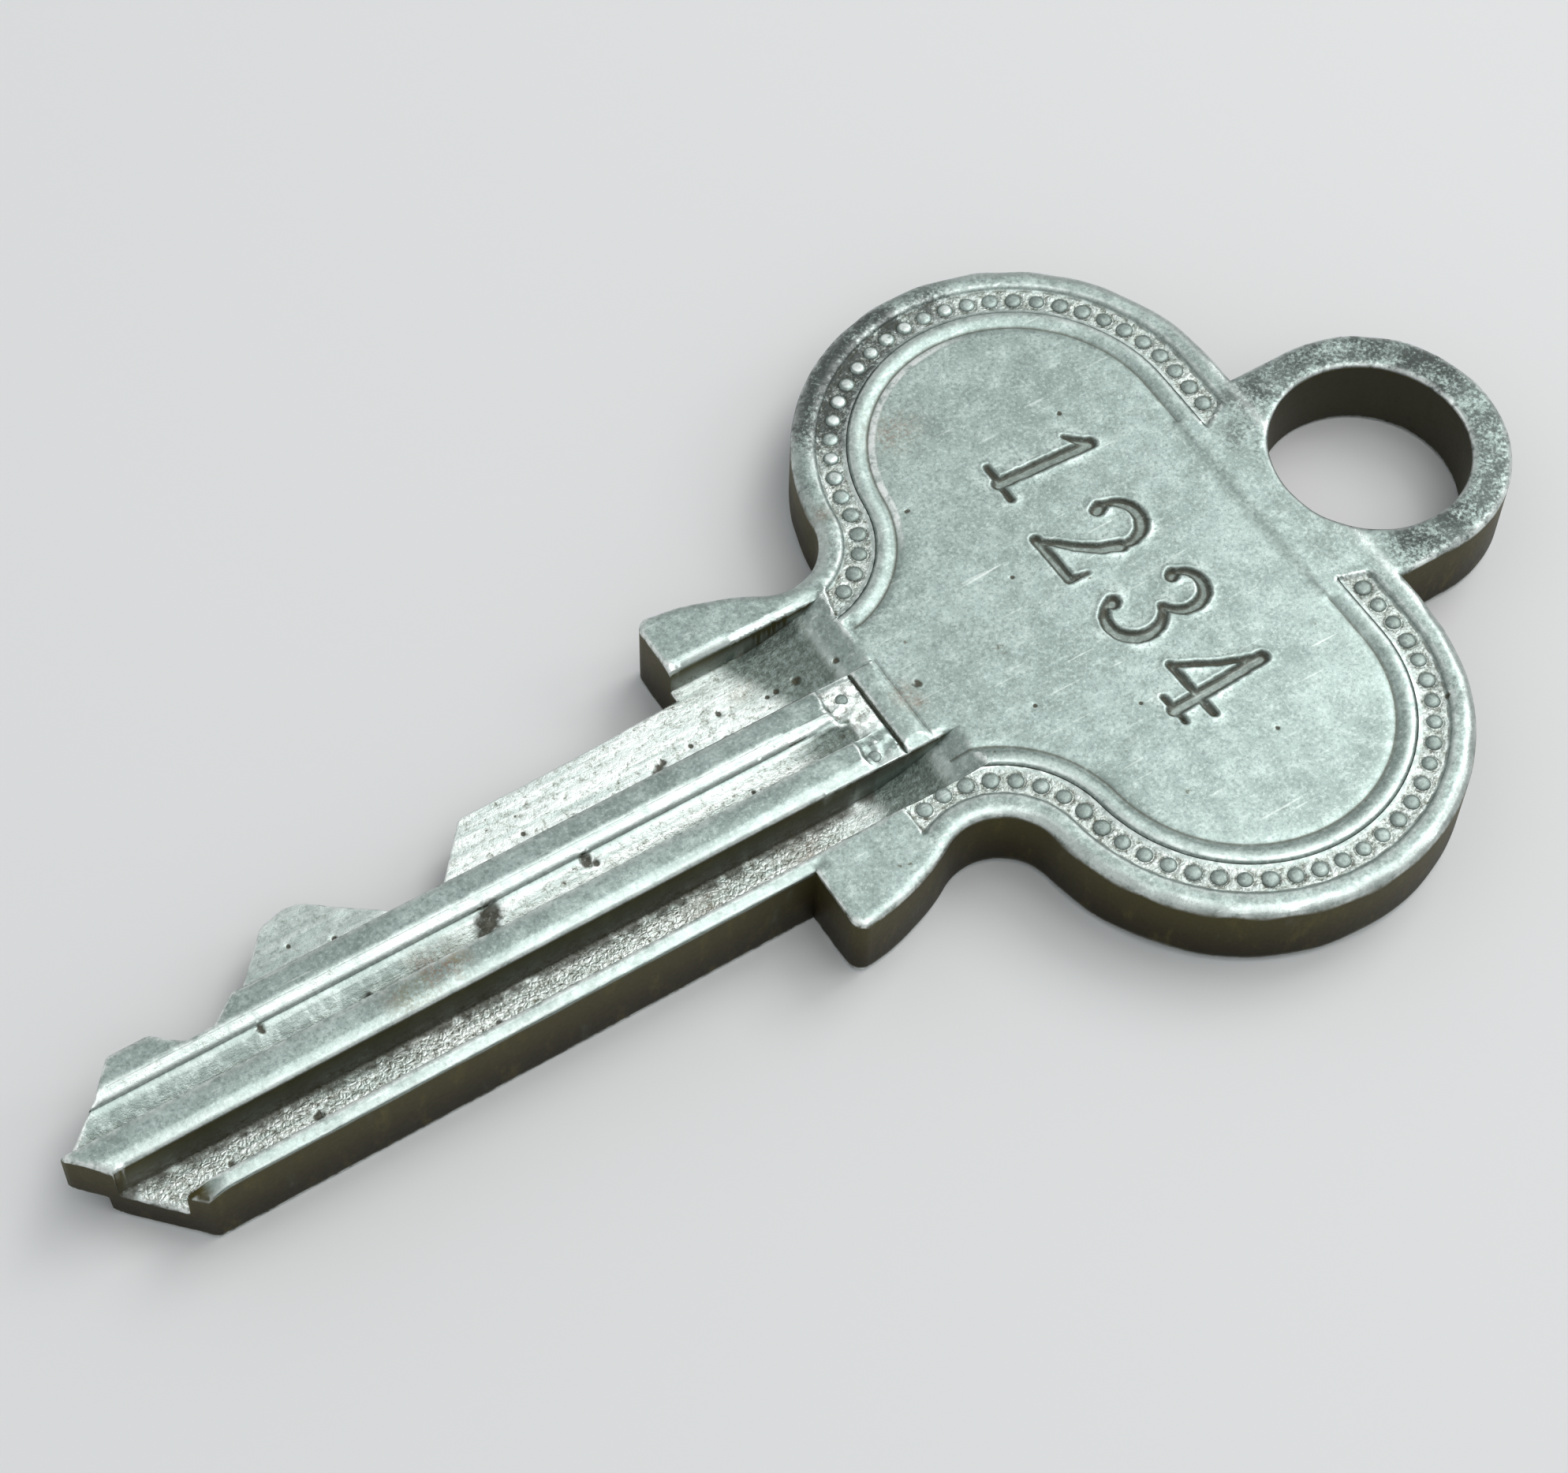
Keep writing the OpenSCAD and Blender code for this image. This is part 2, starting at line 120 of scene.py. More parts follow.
# The striking: both faces of the bow are struck with a rim, a sunk channel, a ridge and a sunk panel.
# The depths run inwards from the bow's own edge, and stop at the ring's tongue and at the neck, where the
# same die left a sunk strip and a rounded cross bar.
PANEL_DEPTH, CHANNEL_DEPTH, STRIP_DEPTH = 0.058, 0.13, 0.12
CHANNEL_IN, RIDGE_IN, RIDGE_TOP, PANEL_IN = 0.6, 1.56, 1.62, 2.06
BORDER_IN = [0.34, 0.58, 0.65, 0.69, 0.75, 1.38, 1.48, 1.52, 1.54, RIDGE_IN, RIDGE_TOP, 1.72, 1.86, 1.97,
             PANEL_IN, 2.11, 2.16, 2.25, 2.36]
BORDER_DEPTH = [0, 0.004, 0.03, 0.09, CHANNEL_DEPTH, CHANNEL_DEPTH, 0.1, 0.088, 0.112, 0.05, 0.016, 0.002,
                0.012, 0.046, 0.092, 0.1, 0.084, 0.064, PANEL_DEPTH]
CHANNEL_END, STRUCK_END = 2.94, 2.8
# The channel's slanted ends, two by the ring and one in the neck: a place, the end there and its slope.
# They differ on the side of the cuts and on that of the spine.
RING_END_CUTS, RING_END_SPINE, NECK_END_CUTS = (16.83, 2.86, 0.62), (16.88, 3.1, 0.34), (2.8, 4.62, 0.29)
BAR_X0, BAR_X1, BAR_HALF = 4.03, 4.68, 2.6
TONGUE_STEP, TONGUE_STEP_HALF = 2.17, 3.4


def ramp(a, b, v):
    """A soft step from 0 at a to 1 at b."""
    t = np.clip((v - a) / (b - a), 0, 1)
    return t * t * (3 - 2 * t)


def bell(v, centre, width):
    """1 at the centre, falling off softly on both sides."""
    return np.exp(-((v - centre) / width) ** 2)


def ripple(x, y, size, seed):
    """A smooth unevenness between about -1 and 1, with bumps of about the given size."""
    rng = np.random.default_rng(seed)
    total = 0
    for _ in range(9):
        angle, phase = rng.uniform(0, 2 * math.pi, 2)
        pace = 2 * math.pi / (size * rng.uniform(0.7, 1.7))
        total = total + np.sin((x * math.cos(angle) + y * math.sin(angle)) * pace + phase)
    return total / 3.6


def border_inset(x, y):
    """How far a point lies inside the bow's own edge, which runs on under the ring's tongue."""
    y = np.abs(y)
    lobe = LOBE_R - np.hypot(x - LOBE_X, y - LOBE_Y)
    turn = np.degrees(np.arctan2(y - LOBE_Y, x - LOBE_X))
    hollow_turn = np.degrees(np.arctan2(y - HOLLOW_Y, x - HOLLOW_X))
    t = np.hypot(x - HOLLOW_X, y - HOLLOW_Y) - HOLLOW_R
    t = np.where(hollow_turn < LONG_ANGLE - 180, LONG_R - np.hypot(x - LONG_X, y - LONG_Y), t)
    t = np.where((turn >= 0) & (turn <= TOUCH), lobe, t)
    return np.where((turn < 0) & (x > LOBE_X), SIDE_X - x, t)


def slanted(v, start, end, slope):
    """Where a slanted end lies at v."""
    return end + (v - start) * slope


def channel_here(x, y):
    """1 where the channel runs, falling to 0 over its ends by the ring and at the neck."""
    ring_end = np.where(y > 0, slanted(x, *RING_END_CUTS), slanted(x, *RING_END_SPINE))
    by_ring = np.where(x > LOBE_X + 1, ramp(0, 0.05, np.abs(y) - ring_end), 1)
    neck_end = np.where(y > 0, slanted(y, *NECK_END_CUTS), CHANNEL_END)
    return by_ring * ramp(0, 0.06, x - neck_end)


def ridge_here(x, y):
    """1 where the ridge stands, falling to 0 where it fades out by the tongue."""
    return np.where(x > LOBE_X + 1, ramp(2.2, 4.6, np.abs(y)), 1)


def struck_depth(x, y):
    """How deep the die went at each point."""
    t = border_inset(x, y)
    border = np.interp(t, BORDER_IN, BORDER_DEPTH)
    in_channel = (t > CHANNEL_IN) & (t < RIDGE_IN)
    # Without its ridge the border is only the panel's own step
    ridge, plain = ridge_here(x, y), np.where(t > PANEL_IN, border, 0)
    step = np.where(t > RIDGE_IN, plain * (1 - ridge) + border * ridge, border)
    depth = np.where(in_channel, border * channel_here(x, y), step)
    # The panel's step across the tongue is a soft slope with a faint line at its foot
    tongue = (np.abs(y) < TONGUE_STEP_HALF) & (x > LOBE_X) & ~in_channel
    slope = PANEL_DEPTH * ramp(-0.12, 0.2, t - TONGUE_STEP) + 0.012 * bell(t, 2.2, 0.06)
    depth = np.where(tongue, np.minimum(depth, slope), depth)
    # The neck: the strip with a sharp line by the bar, the bar itself, and the panel's edge
    strip = STRIP_DEPTH * ramp(2.84, 3.04, x + 0.06 * ripple(x, y, 0.6, 43)) * ramp(0.02, -0.03, x - BAR_X0)
    strip = strip + 0.07 * bell(x, BAR_X0 - 0.04, 0.035)
    half_bar = (BAR_X1 - BAR_X0) / 2
    round_bar = 0.04 * np.clip(np.abs(x - BAR_X0 - half_bar) / half_bar, 0, 1) ** 3
    panel = PANEL_DEPTH * ramp(-0.06, 0.12, x - BAR_X1) + 0.025 * bell(x, BAR_X1 + 0.1, 0.05)
    neck = np.maximum(np.maximum(strip, panel), np.where(x > BAR_X0, round_bar, 0))
    between = (x < NECK_END + 0.2) & (t > RIDGE_TOP)
    depth = np.where(between, np.where(np.abs(y) < BAR_HALF, neck, np.minimum(depth, neck + 0.05)), depth)
    return np.where(x < STRUCK_END, 0, depth)


# The milling: a disc cutter ran along the blade and into the neck, and left a round run-out.
# Each groove is its section across the blade, as places and depths, with how far along x the disc cut.
CUTTER_R = 6.0
WIDE = ([0.6, 1.0, 1.15, 1.2, 1.212, 1.228, 1.3, 3.56, 3.62, 3.635, 3.65, 3.82, 3.85],
        [0, 0.022, 0.04, 0.07, 0.2, 0.86, 0.92, 0.92, 0.88, 0.2, 0.09, 0.014, 0], 4.7)
MIDDLE = ([-0.98, -0.76, -0.69, -0.67, -0.658, -0.64, -0.6, 0.1, 0.13, 0.15, 0.42, 0.45],
          [0, 0.012, 0.03, 0.06, 0.14, 0.57, 0.62, 0.2, 0.19, 0.13, 0.018, 0], 3.72)
DEEP = ([-3.14, -3.06, -3.04, -3.026, -3.01, -2.93, -1.75, -1.68, -1.664, -1.65, -1.36, -1.28],
        [0, 0.015, 0.06, 0.2, 1.19, 1.25, 1.25, 1.19, 0.2, 0.115, 0.012, 0], 5.54)
SPINE = ([-SPINE_Y, -3.2, -3.12], [0.11, 0.012, 0], 0.3)
BACK = ([-1.56, -1.5, -1.485, -1.47, -1.4, -0.3, -0.23, -0.215, -0.2, -0.14],
        [0, 0.05, 0.15, 0.64, 0.7, 0.7, 0.64, 0.15, 0.05, 0], 3.6)
# From where along x the middle groove narrows towards its foot, over what length and by what share
MIDDLE_FOOT, NARROW_START, NARROW_RUN, NARROW_SHARE = -0.64, 1.9, 1.75, 0.62
NOSE_WORN = 0.4


def groove_depth(x, y, groove):
    """A groove's section, cut off by how deep the round disc still stood at x."""
    across, depths, end_x = groove
    deepest = max(depths)
    run = math.sqrt(2 * CUTTER_R * deepest - deepest * deepest)
    lifted = np.clip(x - (end_x - run), 0, run)
    disc = deepest - CUTTER_R + np.sqrt(CUTTER_R ** 2 - lifted ** 2)
    return np.minimum(np.interp(y, across, depths, 0, 0), np.maximum(disc, 0))


def milled_depth(x, y, front):
    """How deep the grooves of one face are at each point."""
    if not front:
        return groove_depth(x, y, BACK)
    # The middle groove narrows to its deep side as the disc lifts out
    drawn_in = 1 - NARROW_SHARE * np.clip((x - NARROW_START) / NARROW_RUN, 0, 1) ** 1.5
    middle_y = np.where(y > MIDDLE_FOOT, MIDDLE_FOOT + (y - MIDDLE_FOOT) / drawn_in, y)
    depth = np.maximum(groove_depth(x, y, WIDE), groove_depth(x, y, DEEP))
    depth = np.maximum(depth, groove_depth(x, middle_y, MIDDLE))
    # The spine's bright slope, and its end by the nose, which is worn down
    spine = np.interp(y, *SPINE[:2], 0, 0) + NOSE_WORN * ramp(-16.6, -17.8, x) * ramp(-2.95, -3.08, y)
    return np.maximum(depth, np.where(x < SPINE[2], spine, 0))


def with_crossings(levels, end_x):
    """The outline with a point wherever a line of the milling runs out over it, for both faces to share."""
    rows = []
    for a, b in zip(outline, np.roll(outline, -1, 0)):
        rows.append(a)
        if a[0] <= end_x and abs(b[1] - a[1]) >= 1e-9:
            shares = sorted((y - a[1]) / (b[1] - a[1]) for y in levels)
            rows += [[*(a[:2] + u * (b - a)[:2]), a[2]] for u in shares if 1e-4 < u < 1 - 1e-4]
    return np.array(rows)


outline = with_crossings(WIDE[0] + MIDDLE[0] + DEEP[0] + SPINE[0][1:] + BACK[0], 1.0)
edge, edge_width = outline[:, :2].copy(), outline[:, 2].copy()
edge_next = np.roll(edge, -1, 0)

# The number: four plain serif digits, each struck with its own punch, so that none stands quite true.
# A digit is its tilt, its lift and a few strokes: points across and up from its foot in shares of its
# height, and the widths that a stroke goes between.
DIGIT_H, DIGIT_X, DIGIT_Y, DIGIT_PITCH, DIGIT_DEPTH = 3.1, 10.6, 0.15, 2.7, 0.14
STROKE_SHARE, NUMBER_NEAR_X, NUMBER_NEAR_Y = 1.2, 2.6, 6


def curl(cx, cy, rx, ry, start, end, n=14):
    """A round stroke's points."""
    a = np.radians(np.linspace(start, end, n))
    return [(cx + rx * math.cos(v), cy + ry * math.sin(v)) for v in a]


DIGITS = [
    (-3, 0.05, [([(0, 0.02), (0, 0.97)], 0.052, 0.052),
                ([(-0.17, 0.8), (-0.1, 0.86), (0, 0.97)], 0.022, 0.045),
                ([(-0.2, 0.03), (0.2, 0.03)], 0.03, 0.03)]),
    (2, -0.03, [(curl(0, 0.72, 0.23, 0.25, 165, -20), 0.028, 0.055),
                ([(0.216, 0.635), (0.14, 0.46), (0, 0.28), (-0.13, 0.16), (-0.22, 0.05)], 0.055, 0.025),
                ([(-0.24, 0.05), (0.24, 0.05)], 0.045, 0.045), ([(0.26, 0.03), (0.29, 0.22)], 0.035, 0.016),
                ([(-0.22, 0.73), (-0.2, 0.68)], 0.055, 0.055)]),
    (-1, 0.02, [(curl(-0.01, 0.75, 0.2, 0.22, 155, -75), 0.028, 0.05),
                (curl(-0.01, 0.27, 0.24, 0.26, 78, -150), 0.03, 0.056),
                ([(-0.19, 0.8), (-0.17, 0.77)], 0.05, 0.05),
                ([(-0.21, 0.19), (-0.19, 0.17)], 0.055, 0.055)]),
    (3, -0.02, [([(0.07, 0.98), (-0.08, 0.64), (-0.29, 0.29)], 0.026, 0.026),
                ([(-0.3, 0.28), (0.29, 0.28)], 0.034, 0.034), ([(0.08, 0.02), (0.08, 0.98)], 0.054, 0.054),
                ([(-0.07, 0.03), (0.22, 0.03)], 0.026, 0.026)])]


def stroke_segments():
    """Every stroke as short segments in the key's frame: two ends and two half widths."""
    rows = []
    for k, (tilt, lift, digit) in enumerate(DIGITS):
        y0 = DIGIT_Y + (1.5 - k) * DIGIT_PITCH
        c, s = math.cos(math.radians(tilt)), math.sin(math.radians(tilt))
        for points, w0, w1 in digit:
            places = []
            for u, v in points:
                u, v = c * u - s * (v - 0.5), s * u + c * (v - 0.5) + 0.5 + lift
                places.append((DIGIT_X + DIGIT_H * v, y0 - DIGIT_H * u))
            # A curl swells in its middle, a straight stroke tapers from end to end
            f = np.linspace(0, 1, len(points))
            swell = np.sin(math.pi * f) if len(points) > 5 else f
            widths = DIGIT_H * STROKE_SHARE * (w0 + (w1 - w0) * swell)
            for i in range(len(points) - 1):
                rows.append([*places[i], *places[i + 1], widths[i], widths[i + 1]])
    return np.array(rows)


strokes = stroke_segments()


def stroke_reach(xy):
    """Distance beyond the side of the nearest stroke, below 0 inside it, and that stroke's half width."""
    best, width = np.full(len(xy), 9.0), np.ones(len(xy))
    for ax, ay, bx, by, wa, wb in strokes.tolist():
        a, ab = np.array([ax, ay]), np.array([bx - ax, by - ay])
        u = np.clip(((xy - a) @ ab) / (ab @ ab), 0, 1)
        w = wa + (wb - wa) * u
        d = np.hypot(*(xy - a - u[:, None] * ab).T) - w
        nearer = d < best
        best, width = np.where(nearer, d, best), np.where(nearer, w, width)
    return best, width


def number_marks(xy):
    """The strokes' depth, their soot with painted shade, a painted highlight on the metal raised beside
    them, and their lips.
    """
    middle_x = DIGIT_X + DIGIT_H / 2
    near = (np.abs(xy[:, 0] - middle_x) < NUMBER_NEAR_X) & (np.abs(xy[:, 1]) < NUMBER_NEAR_Y)
    depth, soot_and_painted_shade, swell, lip = np.zeros((4, len(xy)))
    if near.any():
        x, y = xy[near].T
        d, w = stroke_reach(xy[near])
        d = d + 0.01 * ripple(x, y, 0.3, 31)
        struck = ramp(0.015, -0.085, d) * (0.6 + 0.4 * np.clip(w / 0.19, 0, 1))
        depth[near] = DIGIT_DEPTH * struck - 0.014 * bell(d, 0.06, 0.05)
        # Soot with painted shade in each stroke, less on the floor of the widest
        soot_and_painted_shade[near] = ramp(0.015, -0.025, d) * (1 - 0.55 * ramp(-0.085, -0.13, d))
        # A painted highlight on the metal raised beside each stroke, broken up at random
        swell[near] = ramp(-0.3, 0.9, ripple(x, y, 1.1, 33)) * bell(d, 0.14, 0.14)
        lip[near] = bell(d, 0.01, 0.08)
    return depth, soot_and_painted_shade, swell, lip


# The pearls' seats: the same strike sank a small moat into the channel's floor round every pearl.
# They run from the ring round each lobe into the neck, and two more are left beside the cross bar.
PEARL_IN, PEARL_PITCH, PEARL_START, MOAT_R, MOAT_DEPTH = 1.1, 0.66, 3.66, 0.255, 0.022
PEARL_ARC_R, PEARL_HOLLOW_R = LOBE_R - PEARL_IN, HOLLOW_R + PEARL_IN


def pearl_line(side, end_x):
    """Centres of the pearls of one half, from the ring to the line's end in the neck."""
    to_lobe = LOBE_Y - PEARL_START
    round_lobe = PEARL_ARC_R * math.radians(TOUCH)
    points, s = [], 0.0
    while True:
        if s < to_lobe:
            x, y = SIDE_X - PEARL_IN, PEARL_START + s
        elif s < to_lobe + round_lobe:
            a = (s - to_lobe) / PEARL_ARC_R
            x, y = LOBE_X + PEARL_ARC_R * math.cos(a), LOBE_Y + PEARL_ARC_R * math.sin(a)
        else:
            a = math.radians(TOUCH - 180) - (s - to_lobe - round_lobe) / PEARL_HOLLOW_R
            x, y = HOLLOW_X + PEARL_HOLLOW_R * math.cos(a), HOLLOW_Y + PEARL_HOLLOW_R * math.sin(a)
            if x < end_x:
                return points
        points.append((x, side * y))
        s += PEARL_PITCH


def tree_of(points):
    """A search tree that finds the nearest of some points."""
    tree = KDTree(len(points))
    for i, (x, y) in enumerate(np.array(points).tolist()):
        tree.insert((x, y, 0), i)
    tree.balance()
    return tree


row_pearls = pearl_line(1, 4.95) + pearl_line(-1, CHANNEL_END + 0.32)
bar_pearls = [(3.4, 0.62), (3.2, -1.3)]
pearl_tree = tree_of(row_pearls)


def pearl_gap(xy):
    """Distance from the middle of the nearest pearl, for the points in the channel."""
    t = border_inset(xy[:, 0], xy[:, 1])
    near = (t > 0.7) & (t < 1.5) & (xy[:, 0] > 2.9)
    gap = np.full(len(xy), 9.0)
    gap[near] = [pearl_tree.find((x, y, 0))[2] for x, y in xy[near].tolist()]
    return gap


def moat(gap):
    """1 in the crease around a pearl, falling to 0 on both sides of it."""
    return bell(gap, MOAT_R, 0.024)


# Wear: years in pockets rounded every corner of the metal and left small pits and knocks.
# Each pit is its place in millimetres, its radius and its depth.
PITS = [(-1.51, 1.72, 0.25, 0.1), (-1.3, 1.86, 0.13, 0.06), (-0.42, 1.9, 0.09, 0.05),
        (0.5, 1.62, 0.13, 0.06), (0.72, 2.38, 0.11, 0.05), (2.08, 2.14, 0.08, 0.04),
        (2.36, 2.15, 0.1, 0.05), (2.95, 2.1, 0.15, 0.08), (4.05, 1.88, 0.12, 0.05),
        (-5.5, 1.87, 0.09, 0.05), (-6.1, 1.6, 0.07, 0.04), (-11.1, 1.68, 0.11, 0.06),
        (-12.2, 2.1, 0.08, 0.04), (-11.26, -0.5, 0.17, 0.08), (-4.72, -0.02, 0.2, 0.1),
        (-4.5, -0.16, 0.12, 0.06), (-7.5, -0.05, 0.32, 0.14), (-7.72, -0.25, 0.36, 0.14),
        (-7.9, -0.45, 0.3, 0.1), (0.08, -0.42, 0.09, 0.05), (0.92, -0.52, 0.09, 0.05),
        (-14.0, 0.0, 0.14, 0.06), (-13.75, -2.35, 0.17, 0.08), (-13.9, -2.93, 0.13, 0.05),
        (-11.1, -2.86, 0.11, 0.05), (-8.7, -2.46, 0.13, 0.06), (-6.0, -2.93, 0.11, 0.05),
        (-4.3, -2.6, 0.15, 0.07), (-3.95, -2.84, 0.14, 0.07), (-4.75, -2.88, 0.11, 0.05),
        (-0.6, -2.8, 0.13, 0.06), (-16.2, -2.4, 0.12, 0.05), (13.6, 5.4, 0.09, 0.02),
        (9.4, 1.5, 0.08, 0.02), (8.2, 4.8, 0.09, 0.02), (12.6, -6.1, 0.08, 0.02),
        (7.6, -2.2, 0.08, 0.02), (10.0, -3.6, 0.08, 0.02), (5.35, -0.02, 0.16, 0.015),
        (17.0, -7.6, 0.1, 0.03)]
HOLE_CORNER, CORNER_DROP = 0.16, 0.62
# The middles of the edge's short sides are searched too, so that the nearest side is found
fine_tree = tree_of(np.concatenate([edge, (edge + edge_next) / 2]))


def pit_share(xy):
    """How near each point lies to the middle of a pit, and how deep that pit is."""
    share, depth = np.zeros((2, len(xy)))
    for px, py, r, deep in PITS:
        gap = np.hypot(xy[:, 0] - px, xy[:, 1] - py)
        near = gap < r
        share[near] = np.maximum(share[near], 1 - (gap[near] / r) ** 2)
        depth[near] += deep * (1 - (gap[near] / r) ** 2) ** 1.5
    return share, depth


def edge_distance(xy):
    """Distance to the edge and the width of the worn corner there."""
    near = np.array([fine_tree.find((x, y, 0))[1] for x, y in xy.tolist()]) % len(edge)
    width = edge_width[near]
    best = np.full(len(xy), 9.0)
    for shift in (-1, 0, 1):
        i = (near + shift) % len(edge)
        a, ab = edge[i], edge_next[i] - edge[i]
        u = np.clip(((xy - a) * ab).sum(1) / (ab * ab).sum(1), 0, 1)
        best = np.minimum(best, np.hypot(*(xy - a - ab * u[:, None]).T))
    hole = np.hypot(xy[:, 0] - EYE_X, xy[:, 1]) - HOLE_R
    width = np.where(hole < best, HOLE_CORNER, width)
    return np.minimum(best, np.abs(hole)), width


def rough_strip(x, y, low, high):
    """1 on the rough strip before the bar, between its low and its high end across the neck."""
    return ramp(2.9, 3.0, x) * ramp(4.0, 3.9, x) * ramp(*low, y) * ramp(*high, y)


def face_depth(xy, front):
    """How far the face at each point lies below the flat of the blank."""
    x, y = xy[:, 0], xy[:, 1]
    struck, milled = struck_depth(x, y), milled_depth(x, y, front)
    if front:
        struck = struck + number_marks(xy)[0]
        floor_wave = 0.006 * ripple(x, y * 4, 1.6, 11) + 0.005 * ripple(x, y, 0.4, 12)
        milled = np.where(milled > 0.3, milled + floor_wave, milled)
    depth = np.maximum(struck + MOAT_DEPTH * moat(pearl_gap(xy)), milled)
    if front:
        depth = depth + pit_share(xy)[1]
        rough = rough_strip(x, y, (-1.6, -1.4), (1.2, 1.0))
        depth = depth + 0.022 * rough * ripple(x, y, 0.36, 41)
    # No face is quite flat
    depth = depth + 0.004 * ripple(x, y, 3.5, 5 + front) + 0.003 * ripple(x, y, 1.1, 7 + front) + 0.004
    d, width = edge_distance(xy)
    t = np.clip(1 - d / width, 0, 1)
    worn = width * (1 + 0.25 * ripple(x, y, 1.6, 21 + front))
    depth = depth + CORNER_DROP * worn * (1 - np.sqrt(np.maximum(1 - t * t, 0)))
    return np.maximum(depth, 0)


# The faces: the plan of the key as triangles, whose lines follow the edge, the border and the grooves, with
# rings and grids of points round the strokes, the pits and the moats. The seams are where the named zones
# meet, which in the real key are one piece of metal.
TONGUE_X, TONGUE_Y, ROOT_X = 16.18, 3.1, 0.6
NECK_TOP = HOLLOW_Y - math.sqrt(HOLLOW_R ** 2 - (NECK_END - HOLLOW_X) ** 2)
SEAMS = {
    ("ring_eye", "bow"): [[(TONGUE_X, -TONGUE_Y), (TONGUE_X, TONGUE_Y)],
                          [(TONGUE_X, TONGUE_Y), (SIDE_X, TONGUE_Y)],
                          [(SIDE_X, -TONGUE_Y), (TONGUE_X, -TONGUE_Y)],
                          [(SIDE_X, TONGUE_Y), (SIDE_X, EYE_R)], [(SIDE_X, -EYE_R), (SIDE_X, -TONGUE_Y)]],
    ("bow", "neck"): [[(NECK_END, -NECK_TOP), (NECK_END, NECK_TOP)]],
    ("neck", "blade"): [[(ROOT_X, -SPINE_Y), (ROOT_X, EDGE_Y)], [(0, -SPINE_Y), (ROOT_X, -SPINE_Y)],
                        [(ROOT_X, EDGE_Y), (0, EDGE_Y)]]}
# How close the points stand, where there are two values on the back and on the front
LINE_STEP, ROW_STEP, GRID_PITCH, GRID_CLEAR = (0.2, 0.09), (0.14, 0.06), (0.3, 0.15), 0.55
SEAM_STEP, GROOVE_STEP, CROSS_STEP, HOLE_STEP = 0.12, 0.16, 0.1, 0.12
NUMBER_PITCH, NUMBER_MARGIN, STROKE_MARGIN, STRIP_PITCH = 0.046, 0.4, 0.14, 0.065
# Where the grid, the strip's grid, the bar's lines and the border's lines run, along and across the key
KEY_BOX, STRIP_BOX = (-20, 24.2, -11.3, 11.3), (1.5, 5.1, -1.62, 1.2)
BAR_SPAN, BORDER_START = (-1.62, 1.18), 2.5
FLOOR_ROWS = (np.arange(0.8, 1.42, 0.12), np.arange(0.78, 1.42, 0.055))
MOAT_RINGS = ((MOAT_R, 0.305), (0.19, 0.23, MOAT_R, 0.27, 0.305))
CORNER_SHARES, PIT_RINGS = (0.06, 0.2, 0.42, 0.7, 1.0), (0.3, 0.6, 0.85, 1.1)
HOLE_RINGS = (0.01, 0.035, 0.08, 0.16, 0.3)
BAR_LINES = (2.86, 2.9, 2.94, 3.98, 4.02, 4.06, 4.1, 4.6, 4.65, 4.7, 4.75, 4.8, 4.86)
# A groove's lines run to about where the disc came out, and a line across closes them there
GROOVE_START = -20.6
GROOVE_LINES = (((BACK[0], 3.65),),
                ((WIDE[0], 4.75), (MIDDLE[0], 3.7), (DEEP[0], 5.6), (SPINE[0][:-1], 0.3)))
CROSS_LINES = ((4.7, 1.24, 3.62), (5.54, -3.0, -1.7), (3.62, MIDDLE_FOOT, 0.12))
seam_lines = [stretch(line, SEAM_STEP) for group in SEAMS.values() for line in group]
hole_edge = arc(EYE_X, 0, HOLE_R, 0, 360, HOLE_STEP)[:-1]
tangent = edge_next - np.roll(edge, 1, 0)
tangent /= np.hypot(*tangent.T)[:, None]
inward = np.stack([-tangent[:, 1], tangent[:, 0]], 1)


def ring_line(inset, side, step):
    """One line of the border, drawn in from the bow's edge."""
    low = LONG_ANGLE - 180
    pts = np.concatenate([stretch([(SIDE_X - inset, 2.5), (SIDE_X - inset, LOBE_Y)], step)[:-1],
                          arc(LOBE_X, LOBE_Y, LOBE_R - inset, 0, TOUCH, step)[:-1],
                          arc(HOLLOW_X, HOLLOW_Y, HOLLOW_R + inset, TOUCH - 180, low, step)[:-1],
                          arc(LONG_X, LONG_Y, LONG_R - inset, LONG_ANGLE, LONG_ANGLE + 8, step)])
    return pts * [1, side]


def corner_lines():
    """Rows just inside the edge, which round off its worn corner."""
    lines = []
    for share in CORNER_SHARES:
        ring = edge + inward * (edge_width * share)[:, None]
        kept = edge_distance(ring)[0] > 0.93 * edge_width * share
        runs = np.split(np.arange(len(ring)), np.flatnonzero(~kept))
        lines += [ring[run[1:]] for run in runs if len(run) > 3]
    return lines + [arc(EYE_X, 0, HOLE_R + gap, 0, 360, HOLE_STEP) for gap in HOLE_RINGS]


def grid_of(x0, x1, y0, y1, pitch, shift=0):
    """Rows of points, with every other row moved along."""
    gx, gy = np.meshgrid(np.arange(x0, x1, pitch), np.arange(y0, y1, pitch))
    gx[::2] += shift
    return np.stack([gx.ravel(), gy.ravel()], 1)


def inside(xy):
    """True for the points that lie on the metal."""
    result = np.zeros(len(xy), bool)
    a, b = edge, edge_next
    for start in range(0, len(xy), 4000):
        x, y = xy[start:start + 4000, 0:1], xy[start:start + 4000, 1:2]
        crosses = (a[:, 1] > y) != (b[:, 1] > y)
        with np.errstate(divide="ignore", invalid="ignore"):
            at = (b[:, 0] - a[:, 0]) * (y - a[:, 1]) / (b[:, 1] - a[:, 1]) + a[:, 0]
        result[start:start + 4000] = (crosses & (x < at)).sum(1) % 2 == 1
    return result & (np.hypot(xy[:, 0] - EYE_X, xy[:, 1]) > HOLE_R)


